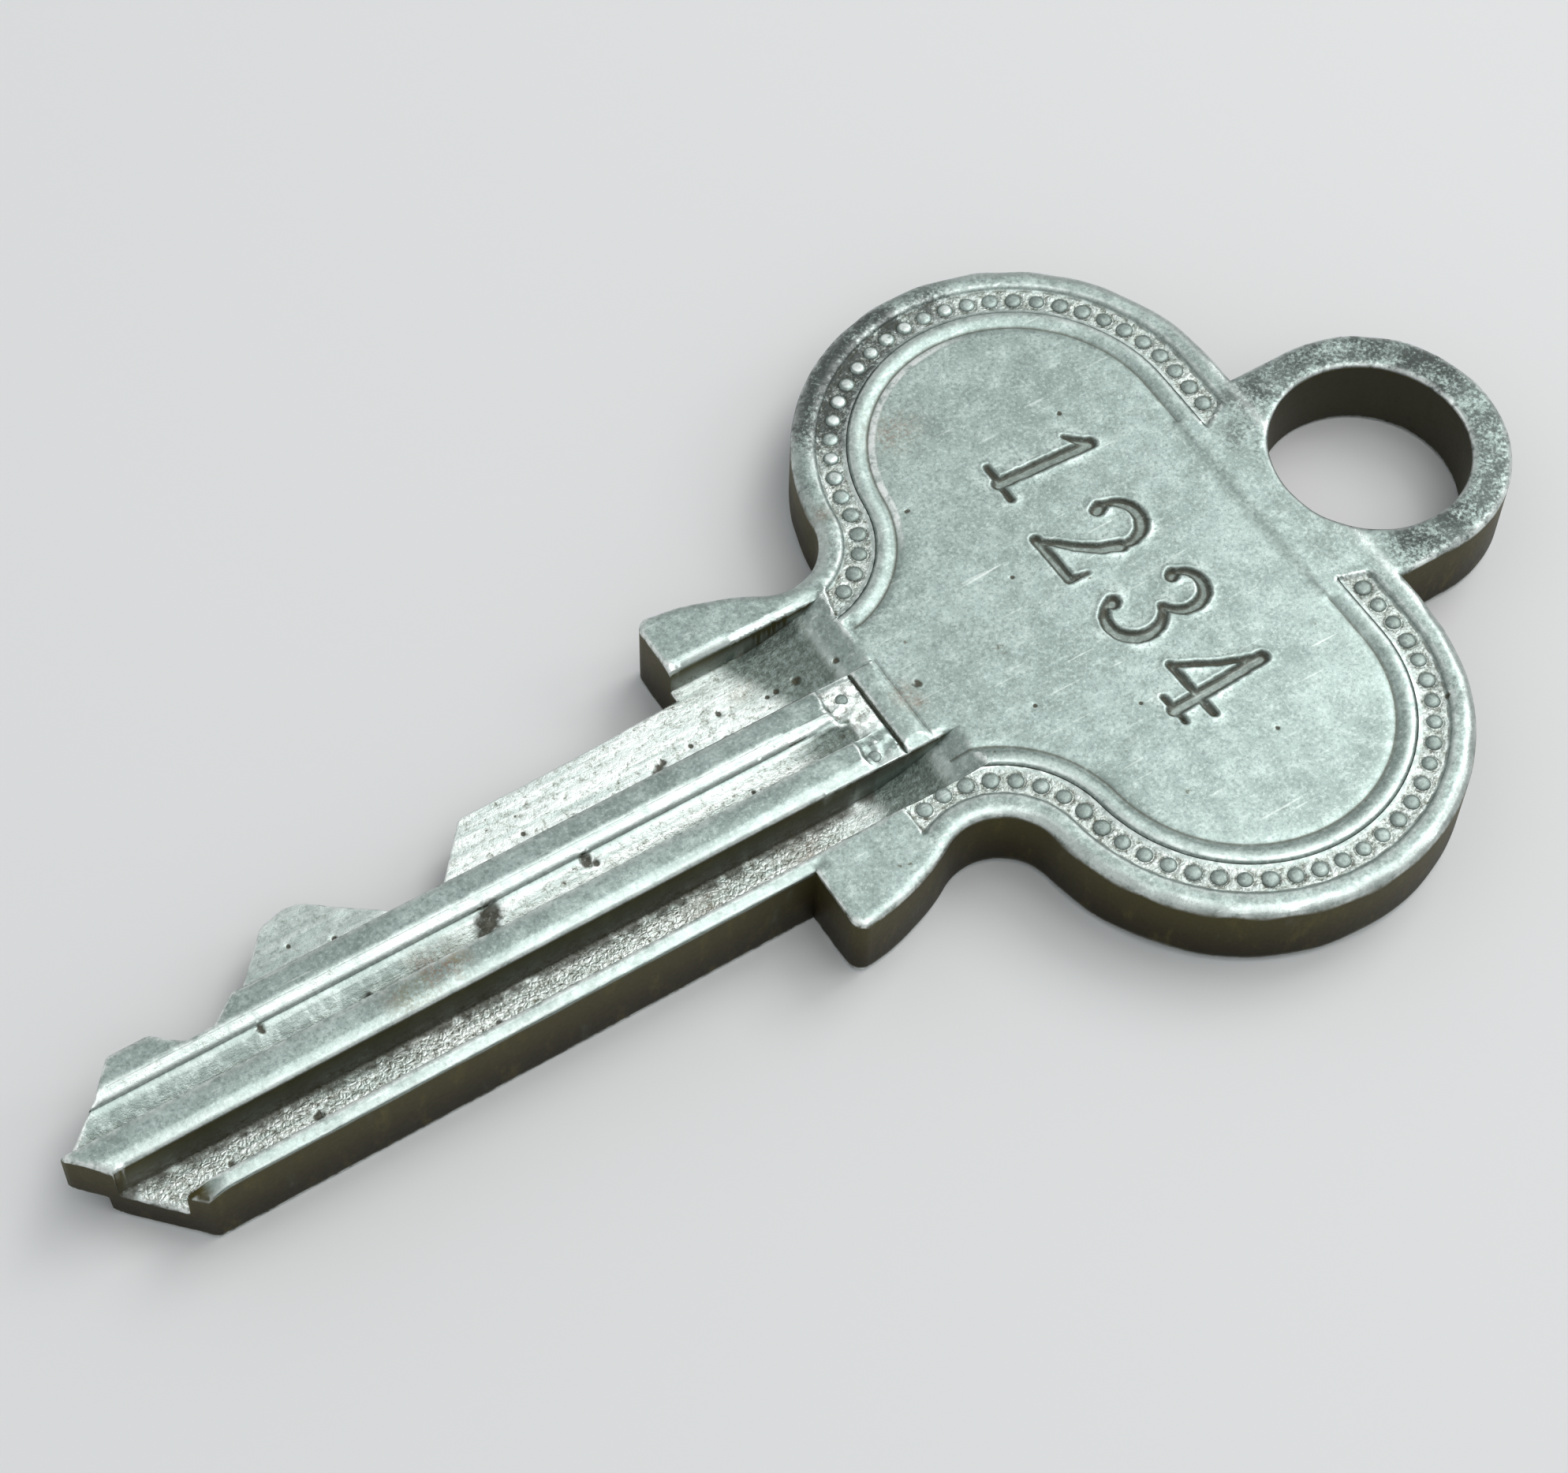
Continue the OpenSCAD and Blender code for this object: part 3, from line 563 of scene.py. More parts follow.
def plan_points(front):
    """The lines that one face's triangles keep, and the loose points between them."""
    lines, loose = [], []
    for side in (1, -1):
        for inset in BORDER_IN:
            line = ring_line(inset, side, LINE_STEP[front])
            lines.append(line[line[:, 0] > BORDER_START])
        for k, inset in enumerate(FLOOR_ROWS[front]):
            row = ring_line(inset, side, ROW_STEP[front])[k % 2:]
            loose.append(row[pearl_gap(row) > MOAT_R + 0.08])
    for x, y in row_pearls:
        loose += [arc(x, y, r, 0, 360, 0.1)[:-1] for r in MOAT_RINGS[front][::2]]
        lines += [arc(x, y, r, 0, 360, 0.08) for r in MOAT_RINGS[front][1::2]]
    lines += corner_lines()
    for across, end_x in GROOVE_LINES[front]:
        lines += [stretch([(GROOVE_START, y), (end_x, y)], GROOVE_STEP) for y in across if y > -SPINE_Y]
    if front:
        lines += [stretch([(x, y) for y in BAR_SPAN], CROSS_STEP) for x in BAR_LINES]
        lines += [stretch([(x, y0), (x, y1)], CROSS_STEP) for x, y0, y1 in CROSS_LINES]
        ends = strokes[:, :4].reshape(-1, 2)
        (x0, y0), (x1, y1) = ends.min(0) - NUMBER_MARGIN, ends.max(0) + NUMBER_MARGIN
        grid = grid_of(x0, x1, y0, y1, NUMBER_PITCH)
        loose.append(grid[stroke_reach(grid)[0] < STROKE_MARGIN])
        loose.append(grid_of(*STRIP_BOX, STRIP_PITCH))
        for x, y, r, _ in PITS:
            loose += [arc(x, y, r * share, 0, 360, 0.5 * r)[:-1] for share in PIT_RINGS]
    return lines, loose


def face_mesh(front):
    """Triangles of one face of the whole key, with the vertices that lie on its edge, hole and seams."""
    lines, loose = plan_points(front)
    taken = np.concatenate([edge, hole_edge] + seam_lines + lines + loose)
    tree = tree_of(taken)
    pitch = GRID_PITCH[front]
    grid = grid_of(*KEY_BOX, pitch, pitch / 2)
    grid = grid[inside(grid)]
    gap = np.array([tree.find((x, y, 0))[2] for x, y in grid.tolist()])
    points = np.concatenate([taken, grid[gap > GRID_CLEAR * pitch]])
    # The edge and the hole are closed loops, the seams and the other lines have two ends
    sides, start, seam_at = [], 0, {}
    for number, line in enumerate([edge, hole_edge] + seam_lines + lines):
        n = len(line)
        count = n if number < 2 else n - 1
        if 2 <= number < 2 + len(seam_lines):
            seam_at.update((len(sides) + i, number - 2) for i in range(count))
        sides += [(start + i, start + (i + 1) % n) for i in range(count)]
        start += n
    flat, flat_sides, faces, from_points, from_sides, _ = delaunay_2d_cdt(
        [Vector(p) for p in points.tolist()], sides, [], 0, 1e-5)
    flat = np.array([tuple(p) for p in flat])
    faces = np.array([f for f in faces if len(f) == 3])
    faces = faces[inside(flat[faces].mean(1))]
    a, b, c = (flat[faces[:, k]] for k in range(3))
    area = (b[:, 0] - a[:, 0]) * (c[:, 1] - a[:, 1]) - (b[:, 1] - a[:, 1]) * (c[:, 0] - a[:, 0])
    faces[area < 0] = faces[area < 0][:, ::-1]
    now_at = {old: new for new, olds in enumerate(from_points) for old in olds}
    n = len(edge)
    rims = [np.array([now_at[i] for i in span]) for span in (range(n), range(n, n + len(hole_edge)))]
    on_seam = [set() for _ in seam_lines]
    for ends, sources in zip(flat_sides, from_sides):
        for source in sources:
            if source in seam_at:
                on_seam[seam_at[source]].update(ends)
    chains = []
    for seam, ids in zip(seam_lines, on_seam):
        ids = np.array(sorted(ids))
        chains.append(ids[np.argsort((flat[ids] - seam[0]) @ (seam[-1] - seam[0]))])
    return flat, faces, rims, chains


def piece_at(xy):
    """The named zone that each point lies in."""
    x, y = xy[:, 0], np.abs(xy[:, 1])
    name = np.where(x > NECK_END, "bow", "neck").astype("U8")
    name[(x > SIDE_X) & (y < EYE_R)] = "ring_eye"
    name[(x > TONGUE_X) & (y < TONGUE_Y)] = "ring_eye"
    name[(x < 0) | ((x < ROOT_X) & (xy[:, 1] > -SPINE_Y) & (xy[:, 1] < EDGE_Y))] = "blade"
    return name


# The shell: both faces and the walls between them as one closed skin of metal, before it is cut up.
# The smooth normals of the whole go with each piece, so that the struck metal runs on over the seams.
WALL_SHARES = (0.05, 0.3, 0.7, 0.95)
SMOOTH_ANGLE = 62
front_xy, front_faces, front_rims, front_chains = face_mesh(True)
back_xy, back_faces, back_rims, back_chains = face_mesh(False)
front_z, back_z = THICK - face_depth(front_xy, True), face_depth(back_xy, False)
shell_points = [np.column_stack([front_xy, front_z]), np.column_stack([back_xy, back_z])]
shell_faces = [front_faces, back_faces[:, ::-1] + len(front_xy)]
shell_names = [piece_at(front_xy[front_faces].mean(1)), piece_at(back_xy[back_faces].mean(1))]
count = len(front_xy) + len(back_xy)
wall_columns = []
# Each side of the edge belongs to the zone just inside its middle
edge_names = piece_at((edge + edge_next) / 2 + 0.01 * inward)
for k, (line, names) in enumerate(((edge, edge_names), (hole_edge, np.full(len(hole_edge), "ring_eye")))):
    z0, z1 = front_z[front_rims[k]], back_z[back_rims[k]]
    rows = [front_rims[k]]
    for share in WALL_SHARES:
        shell_points.append(np.column_stack([line, z0 + (z1 - z0) * share]))
        rows.append(np.arange(count, count + len(line)))
        count += len(line)
    rows.append(back_rims[k] + len(front_xy))
    wall_columns.append(np.array(rows))
    for upper, under in zip(rows[:-1], rows[1:]):
        quads = [upper, under, np.roll(under, -1), np.roll(upper, -1)]
        if k:
            quads = quads[::-1]
        shell_faces += [np.column_stack(quads[:3]), np.column_stack([quads[0], quads[2], quads[3]])]
        shell_names += [names, names]
shell_points, shell_faces, shell_names = map(np.concatenate, (shell_points, shell_faces, shell_names))


def shell_object(name, points, polygons):
    """A new selected object from points in millimetres."""
    mesh = bpy.data.meshes.new(name)
    mesh.from_pydata((points * 0.001).tolist(), [], [list(map(int, f)) for f in polygons])
    mesh.update()
    piece = bpy.data.objects.new(name, mesh)
    bpy.context.scene.collection.objects.link(piece)
    bpy.context.view_layer.objects.active = piece
    piece.select_set(True)
    return piece


def read_rows(items, title, width, kind=np.float32):
    """One property of all items of a mesh, a row for each."""
    values = np.zeros(len(items) * width, kind)
    items.foreach_get(title, values)
    return values.reshape(-1, width)


whole = shell_object("whole", shell_points, shell_faces)
bpy.ops.object.shade_smooth_by_angle(angle=math.radians(SMOOTH_ANGLE))
shell_corner = read_rows(whole.data.corner_normals, "vector", 3).reshape(-1, 3, 3)
vertex_normal = read_rows(whole.data.vertex_normals, "vector", 3)
pairs = read_rows(whole.data.edges, "vertices", 2, np.int32)
bpy.data.objects.remove(whole)

# Traces of use: cloth and hands rubbed the metal bright where it stands out, with painted highlights there,
# and dirt lies where it is hollow, with painted shade. The cutter left its floors rough and bright, and the
# sides are tarnished where nothing rubs, with painted shade. Each trace is a share from 0 to 1 at every
# point of the shell, which the metal's material reads.
BEND_LIMIT, BEND_FULL = 12, 3.0


def most(*layers):
    """The strongest of several traces at each point."""
    return np.maximum.reduce(layers)


def gathered(at_first, at_second):
    """What each point gets from its mesh edges, as their first and as their second end."""
    return (np.bincount(pairs[:, 0], at_first, len(shell_points))
            + np.bincount(pairs[:, 1], at_second, len(shell_points)))


# How sharply the metal bends at each point, above 0 in a hollow, evened out twice with its neighbours
along = shell_points[pairs[:, 1]] - shell_points[pairs[:, 0]]
length2 = np.maximum((along ** 2).sum(1), 4e-4)
rise_first = (along * vertex_normal[pairs[:, 0]]).sum(1) / length2
rise_second = (-along * vertex_normal[pairs[:, 1]]).sum(1) / length2
links = np.bincount(pairs.ravel(), minlength=len(shell_points))
bend = np.clip(gathered(rise_first, rise_second) / links, -BEND_LIMIT, BEND_LIMIT)
for _ in range(2):
    bend = 0.5 * bend + 0.5 * gathered(bend[pairs[:, 1]], bend[pairs[:, 0]]) / links

on_front = np.arange(len(shell_points)) < len(front_xy)
on_wall = np.arange(len(shell_points)) >= len(front_xy) + len(back_xy)
all_xy = shell_points[:, :2]
all_x, all_y = all_xy.T
inset = border_inset(all_x, all_y)
gap = pearl_gap(all_xy)
_, digit_soot_and_shade, digit_burr_highlight, digit_lip = number_marks(front_xy)
by_pearl = (gap < 0.37) & ~on_wall
bend[by_pearl] = 0
bend[on_front] *= np.where(bend[on_front] < 0, 1 - 0.9 * digit_lip, 1)
bend[on_wall] *= 0.3
# Painted shade in the crease round each pearl, broken up at random
crease = np.where(by_pearl, moat(gap) * ramp(-1.2, 0.6, ripple(all_x, all_y, 0.5, 51)), 0)
# A painted shade line along the panel's edge
painted_panel_shade = bell(inset, 2.1, 0.06) * (all_x > NECK_END) * ~on_wall * ridge_here(all_x, all_y)
# Painted shade on the wall of the ring's hole, darkest on its side towards +x and +y
hole_wall = on_wall * (np.hypot(all_x - EYE_X, all_y) < HOLE_R + 0.1)
painted_hole_shade = 0.85 * hole_wall * ramp(-3, 1, all_xy @ [0.6, 0.8] - 12)
channel_floor = np.where(on_wall, 0, channel_here(all_x, all_y) * ramp(0.7, 0.78, inset)
                         * ramp(1.5, 1.42, inset) * (all_x > 2.9))
# The outer edge of the rim is polished and carries a painted highlight, but for the part of a lobe that
# stayed dark
dark_part = ramp(15.5, 12.5, all_x) * ramp(4.5, 7, all_y)
polish_and_painted_highlight = (bell(inset, 0.17, 0.13) * ramp(3.5, 5.5, all_x) * (1 - dark_part)
         * np.where(on_wall, ramp(0.3, 0.75, vertex_normal[:, 2]), 1))
# A painted highlight on the step down from the ridge into the panel, where it faces the light, at the top
# left
painted_step_highlight = bell(inset, 2.21, 0.08) * on_front * ramp(14, 11, all_x) * ramp(3, 5.5, all_y)
shell_marks = {"polish_and_painted_highlight": polish_and_painted_highlight * (0.8 + 0.2 * ripple(all_x, all_y, 1.2, 91)),
               # Wear on what stands out, which also carries painted highlights there and on the step
               "wear_and_highlight": most(np.clip(-bend / BEND_FULL, 0, 1), painted_step_highlight),
               # Dirt in the hollows with painted shade there, in the moats, along the panel's edge and in
               # the ring's hole
               "dirt_and_painted_shade": most(np.clip(bend / BEND_FULL, 0, 1), 0.7 * crease, 0.6 * painted_panel_shade, painted_hole_shade),
               "mill": channel_floor * 0.8, "crumb": channel_floor * 0.9,
               "wall": np.where(on_wall, 1.0, ramp(0.62, 0.28, np.abs(vertex_normal[:, 2])))}

# The front alone has the floors of three grooves, and the bright slopes that the cutter left beside
# them, which also carry a painted highlight: from where to where across, how far they run and how bright
# they are
CUT_SLOPES_AND_HIGHLIGHTS = [(0.16, 0.42, 3.1, 1), (-1.64, -1.38, 3.9, 0.3), (-SPINE_Y, -3.36, -0.1, 0.45),
          (3.66, 3.8, 4.1, 0.9)]
fx, fy = front_xy.T
wide_floor = ramp(0.3, 0.5, groove_depth(fx, fy, WIDE))
deep_floor = ramp(0.4, 0.7, groove_depth(fx, fy, DEEP))
middle_floor = ramp(0.2, 0.24, groove_depth(fx, fy, MIDDLE)) * (fy < 0.13)
strip_floor = rough_strip(fx, fy, (-0.75, -0.3), (1.15, 1.0))
chips = 1 - 0.45 * ramp(0.45, 1.0, ripple(fx, fy, 0.4, 81))
cut_slopes_and_highlight = most(*(share * chips * ramp(y0 - 0.03, y0 + 0.03, fy) * ramp(y1 + 0.05, y1 - 0.03, fy)
                * ramp(end_x + 0.5, end_x - 0.5, fx) for y0, y1, end_x, share in CUT_SLOPES_AND_HIGHLIGHTS))
run_out = most(wide_floor * ramp(-0.3, 0.4, fx - 2.46 + 0.5 * (fy - 1.4)), deep_floor * ramp(2.3, 3.2, fx),
               middle_floor * ramp(1.0, 2.4, fx))
# The worn end of the spine by the nose has the sides' tarnish and painted shade
nose_dull = ramp(-16.9, -17.3, fx) * ramp(-2.9, -3.0, fy)
# Dirt and painted shadow reach from the deep wall's foot over its floor, and dirt lies in every pit
wall_foot_dirt_and_shadow = 0.85 * (deep_floor > 0.5) * ramp(-1.94, -1.78, fy + 0.12 * ripple(fx, fy, 0.5, 61)) * (fx < 3)
pits = pit_share(front_xy)[0]
pit_dirt = ramp(0.2, 0.6, pits + 0.3 * (pits > 0) * ripple(fx, fy, 0.16, 71))
front_marks = {"wall": nose_dull,
               "mill": most(wide_floor * (1 - 0.6 * ramp(-8.6, -10.5, fx)), deep_floor, cut_slopes_and_highlight,
                            middle_floor, strip_floor),
               "crumb": most(0.45 * wide_floor, deep_floor * (0.8 - 0.5 * ramp(1.2, 2.4, fx)),
                             0.45 * middle_floor, 0.6 * strip_floor),
               "chatter": middle_floor * ramp(-7.0, -10.0, fx), "run_out": run_out, "swell": digit_burr_highlight,
               # Soot with painted shade in the strokes and at the deep wall's foot, and dirt in the pits
               "soot_and_painted_shade": most(digit_soot_and_shade * 0.85, pit_dirt, wall_foot_dirt_and_shadow)}
for title, values in front_marks.items():
    whole_marks = shell_marks.setdefault(title, np.zeros(len(shell_points)))
    whole_marks[on_front] = most(whole_marks[on_front], values)

# Stains that the years left on the front: places in millimetres, how far each reaches and how thickly
# it lies
PATINA = [(9.2, 10.1, 1.8, 1), (10.8, 10.8, 1.5, 0.9), (12.7, 10.6, 1.1, 0.6), (7.8, 9.2, 1.8, 1),
          (6.0, 7.2, 1.2, 0.45), (14.4, 10.4, 1.2, 0.35), (5.7, 4.8, 1.2, 0.4), (17.6, 5.8, 1.6, 0.35),
          (23.1, 1.2, 1.5, 0.85), (22.3, 2.9, 1.5, 0.65), (20.6, 3.5, 1.5, 0.65), (18.6, 3.2, 1.4, 0.6),
          (17.5, 2.2, 1.1, 0.45), (20.8, -2.9, 1.5, 0.65), (19.4, -3.3, 1.2, 0.7), (17.3, -3.6, 0.8, 0.4),
          (17.4, -7.4, 1.2, 0.4)]
RUST = [(-9.15, -0.76, 0.5, 1), (-9.7, -0.72, 0.5, 0.8), (-10.5, -1.1, 0.5, 0.7), (-10.0, -0.95, 0.5, 0.7),
        (5.6, 5.3, 0.35, 0.5), (6.1, 5.9, 0.3, 0.45), (4.85, -0.1, 0.35, 0.5), (5.0, -0.5, 0.3, 0.45),
        (1.6, 2.6, 0.36, 0.5), (0.6, -2.3, 0.6, 0.5), (-2.6, -2.2, 0.5, 0.4), (9.3, 7.3, 0.75, 0.5)]


def stained(x, y, blobs):
    """How thickly a kind of stain lies at each point."""
    return most(*(strength * bell(np.hypot(x - px, y - py) / reach, 0, 1)
                  for px, py, reach, strength in blobs))


# The ring and the whole border have some of the patina, and the panel inside was rubbed clean
thin_coat = on_front * (0.24 * ramp(4, 5, all_x) + 0.26 * ramp(18.2, 19.6, all_x))
patina = np.where(on_front, stained(all_x, all_y, PATINA), 0)
shell_marks["patina"] = np.maximum(patina, thin_coat) * ramp(1.8, 1.5, inset)
shell_marks["rust"] = np.where(on_front, stained(all_x, all_y, RUST), 0)

# The ring eye: the rounded loop that a key ring runs through, in the same nickel silver as all the key.
# It was stamped with the blank, and its tongue runs on into the bow. The ring wore it smooth and dark.
# The colours of the metal, the glint also for painted highlights, then of its dirt with painted shade, of
# its tarnish with painted shade and painted shadow, of its stains, and of its crumbs and spots
DULL, CLEAN, BRIGHT = (0.24, 0.3, 0.28), (0.33, 0.405, 0.382), (0.52, 0.61, 0.58)
GLINT, DRAG, GRIME_AND_SHADE = (0.78, 0.835, 0.81), (0.09, 0.115, 0.097), (0.05, 0.046, 0.026)
TARNISH_AND_SHADE, SHADE = (0.06, 0.051, 0.013), (0.023, 0.018, 0.005)
BLUED, BROWN, OCHRE = (0.03, 0.037, 0.032), (0.2, 0.1, 0.05), (0.18, 0.16, 0.085)
CRUMB, SPOT = (0.22, 0.24, 0.2), (0.09, 0.085, 0.055)
# Old scratches: the way they run in degrees, how fine they are (bumps to the metre) and how bright
SCRATCHES = ((35, 7000, 0.4), (-20, 6000, 0.25), (75, 8000, 0.3), (8, 6500, 0.3), (-55, 7500, 0.25))


def column_between(top, low):
    """The wall's points between a corner of the front and the one below it on the back."""
    for column in wall_columns:
        hit = np.flatnonzero((column[0] == top) & (column[-1] == low))
        if len(hit):
            return column[1:-1, hit[0]].tolist()
    return []


def write_marks(piece, marks):
    """The traces of use as attributes of a piece's points."""
    for title, values in marks.items():
        layer = piece.data.attributes.new(title, "FLOAT", "POINT")
        layer.data.foreach_set("value", values.astype(np.float32))


def cut_out(name):
    """One named piece of the shell, closed where it meets its neighbours."""
    bpy.ops.object.select_all(action="DESELECT")
    mine = shell_names == name
    polygons = [list(f) for f in shell_faces[mine]]
    normals = [tuple(n) for n in shell_corner[mine].reshape(-1, 3).astype(float)]
    owners = [pair for pair, group in SEAMS.items() for _ in group]
    for pair, top, low in zip(owners, front_chains, back_chains):
        if name not in pair:
            continue
        top, low = top.tolist(), (low + len(front_xy)).tolist()
        ring = top + column_between(top[-1], low[-1]) + low[::-1] + column_between(top[0], low[0])[::-1]
        polygons.append(ring[::-1] if name == pair[1] else ring)
        normals += [(0.0, 0.0, 0.0)] * len(ring)
    used = sorted(set(i for f in polygons for i in f))
    place = {old: new for new, old in enumerate(used)}
    piece = shell_object(name + "_metal", shell_points[used], [[place[i] for i in f] for f in polygons])
    piece.data.polygons.foreach_set("use_smooth", [True] * len(polygons))
    piece.data.normals_split_custom_set(normals)
    write_marks(piece, {title: values[used] for title, values in shell_marks.items()})
    return piece


def put(tree, value, socket):
    """Joins a socket to another node's output, or sets it to a number, a vector or a colour."""
    if isinstance(value, bpy.types.NodeSocket):
        tree.links.new(value, socket)
    else:
        socket.default_value = (*value, 1) if socket.type == "RGBA" else value


def add_node(tree, kind, **values):
    """A shader node whose sockets and settings are each set to a value or joined to another node."""
    made = tree.nodes.new("ShaderNode" + kind)
    for key, value in values.items():
        if key in made.inputs:
            put(tree, value, made.inputs[key])
        else:
            setattr(made, key, value)
    return made


def shaded(colour, share):
    """A colour made darker, or lighter where the share is above 1."""
    return tuple(share * c for c in colour)


def nickel(name, roughness):
    """Worn nickel silver: satin flats, rubbed edges, dirty hollows, tarnished sides, speckled cuts, painted
    light and shade.
    """
    material = bpy.data.materials.new(name)
    material.use_nodes = True
    tree = material.node_tree
    tree.nodes.clear()
    node = partial(add_node, tree)

    def noise(scale, detail, rough=0.6, grain=(1, 1, 1), turn=0):
        """A noise of about scale bumps to the metre, drawn out along x where the grain asks for it."""
        turned = node("Mapping", Scale=grain, Rotation=(0, 0, math.radians(turn)), Vector=place).outputs[0]
        return node("TexNoise", Scale=scale, Detail=detail, Roughness=rough, Vector=turned).outputs["Fac"]

    def spread(value, low, high, top=1.0):
        """A soft step from 0 at low to top at high."""
        return node("MapRange", interpolation_type="SMOOTHSTEP", Value=value,
                    **{"From Min": low, "From Max": high, "To Max": top}).outputs[0]

    def maths(kind, a, b):
        """One of Blender's operations on two values, kept between 0 and 1."""
        made = node("Math", operation=kind, use_clamp=True)
        put(tree, a, made.inputs[0])
        put(tree, b, made.inputs[1])
        return made.outputs[0]

    def blend(factor, a, b):
        """Colour a, turning into b as the factor grows."""
        made = node("Mix", data_type="RGBA")
        for number, value in ((0, factor), (6, a), (7, b)):
            put(tree, value, made.inputs[number])
        return made.outputs[2]

    times, plus, less, larger = [partial(maths, kind) for kind in ("MULTIPLY", "ADD", "SUBTRACT", "MAXIMUM")]
    place = node("TexCoord").outputs["Object"]
    marks = {title: node("Attribute", attribute_name=title).outputs["Fac"] for title in shell_marks}
    # The satin of the flats, with its fine grain, small spots and old scratches
    grain, patch = noise(8500, 3, 0.75), noise(1700, 7, 0.78)
    colour = blend(spread(noise(420, 3), 0.3, 0.7), DULL, CLEAN)
    layers = ((patch, 0.48, 0.72, 0.6, BRIGHT), (patch, 0.5, 0.3, 0.3, shaded(DULL, 0.6)),
              (grain, 0.52, 0.68, 0.5, BRIGHT), (grain, 0.49, 0.35, 0.45, shaded(DULL, 0.55)))
    for source, low, high, share, paint in layers:
        colour = blend(spread(source, low, high, share), colour, paint)
    # The painted highlight beside the strokes of the number
    colour = blend(times(marks["swell"], spread(grain, 0.3, 0.6)), colour, BRIGHT)
    spots = plus(noise(1500, 5, 0.7), spread(noise(300, 2), 0.5, 0.8, 0.1))
    colour = blend(spread(spots, 0.68, 0.76, 0.8), colour, SPOT)
    for turn, pitch, share in SCRATCHES:
        scratch = less(noise(pitch, 1, 0.5, (0.05, 1, 1), turn), spread(patch, 0.65, 0.4, 0.05))
        colour = blend(spread(scratch, 0.71, 0.8, share), colour, GLINT)
    # The floors that the cutter left: streaks along the key, crumbs, chatter across, and grey run-outs
    streak, crumb = noise(5200, 3, 0.65, (0.07, 1, 1)), noise(5200, 5, 0.8)
    floor = blend(spread(streak, 0.3, 0.66), BRIGHT, GLINT)
    crumbs = less(crumb, times(marks["crumb"], 0.13))
    floor = blend(spread(crumbs, 0.44, 0.32, 0.65), floor, CRUMB)
    floor = blend(spread(crumbs, 0.33, 0.24), floor, SPOT)
    # Where they are rough they are crumpled like foil, with cracks between bent cells
    bent = node("Mix", data_type="VECTOR")
    warp = node("TexNoise", Scale=2600, Detail=2, Vector=place).outputs["Color"]
    for number, value in ((0, 0.0003), (4, place), (5, warp)):
        put(tree, value, bent.inputs[number])
    cell = node("TexVoronoi", feature="DISTANCE_TO_EDGE", Scale=6500, Vector=bent.outputs[1])
    cell = cell.outputs["Distance"]
    crumpled = spread(marks["crumb"], 0.4, 0.8)
    cracks = times(spread(cell, 0.12, 0.01), times(crumpled, spread(patch, 0.4, 0.6)))
    floor = blend(times(cracks, 0.6), floor, CRUMB)
    ribbed = blend(spread(noise(2300, 4, 0.7, (1, 0.3, 1), -12), 0.42, 0.7), DULL, BRIGHT)
    floor = blend(times(marks["chatter"], 0.85), floor, ribbed)
    dragged = blend(spread(noise(6500, 4, 0.7), 0.35, 0.75), DRAG, DULL)
    floor = blend(times(marks["run_out"], 0.95), floor, dragged)
    # The milled floors, and the cut slopes beside the grooves with their painted highlight
    colour = blend(marks["mill"], colour, floor)
    # Tarnish on the sides with painted shade, and a painted shadow that darkens them towards the table
    height = node("SeparateXYZ", Vector=place).outputs[2]
    tarnish_and_shade = blend(spread(height, 0.0021, 0.0003), TARNISH_AND_SHADE, SHADE)
    tarnish_and_shade = blend(spread(noise(1800, 5, 0.7, (1, 1, 0.4)), 0.5, 0.8, 0.5), tarnish_and_shade, shaded(TARNISH_AND_SHADE, 2.4))
    side = times(marks["wall"], spread(noise(700, 4, 0.65, (1, 1, 0.3)), 0.0, 0.38))
    colour = blend(side, colour, tarnish_and_shade)
    # The stains, then the rim's polish with its painted highlight and what the pocket rubbed bright, with
    # painted highlights, then the dirt and soot where it never reached, with painted shade
    smudge = plus(times(noise(9500, 5, 0.8), 0.62), times(noise(1300, 5, 0.7), 0.38))
    level = plus(smudge, times(marks["patina"], 0.12))
    blue = times(spread(marks["patina"], 0.0, 0.7), spread(level, 0.47, 0.62))
    colour = blend(times(blue, 0.92), colour, BLUED)
    brown = times(marks["rust"], spread(smudge, 0.44, 0.56))
    colour = blend(brown, colour, blend(spread(noise(900, 2), 0.4, 0.6), OCHRE, BROWN))
    colour = blend(times(marks["polish_and_painted_highlight"], 0.35), colour, GLINT)
    rubbed_and_highlight = times(spread(marks["wear_and_highlight"], 0.1, 0.6), spread(noise(3200, 4, 0.75), 0.3, 0.6))
    colour = blend(rubbed_and_highlight, colour, GLINT)
    grime_and_shade = times(spread(marks["dirt_and_painted_shade"], 0.12, 0.75), spread(noise(2400, 4), 0.1, 0.45))
    grime_and_shade = larger(grime_and_shade, times(marks["soot_and_painted_shade"], spread(noise(7000, 4, 0.75), 0.26, 0.44)))
    colour = blend(times(grime_and_shade, 0.92), colour, GRIME_AND_SHADE)
    dead = larger(grime_and_shade, larger(times(side, 0.6), larger(blue, brown)))
    rough = plus(plus(times(grain, 0.2), roughness - 0.1), times(dead, 0.2))
    rough = less(less(rough, times(marks["polish_and_painted_highlight"], 0.2)), times(rubbed_and_highlight, 0.12))
    # Fine bumps: the crumbs of the milled floors, and a soft grain all over
    foil = times(spread(cell, 0, 0.3), times(crumpled, 0.16))
    relief = times(marks["mill"], plus(plus(times(crumb, 0.5), foil), times(streak, 0.2)))
    bump = node("Bump", Strength=0.9, Distance=0.00006, Height=relief)
    bump = node("Bump", Strength=0.5, Distance=0.00002, Height=plus(times(grain, 0.4), times(patch, 0.6)),
                Normal=bump.outputs[0])
    shader = node("BsdfPrincipled", Metallic=less(1.0, times(dead, 0.5)), Roughness=rough,
                  Normal=bump.outputs[0], **{"Base Color": colour})
    node("OutputMaterial", Surface=shader.outputs[0])
    return material


ring_eye = cut_out("ring_eye")
ring_eye.data.materials.append(nickel("nickel_ring_eye", 0.4))
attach(ring_eye, "root")
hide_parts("ring_eye")

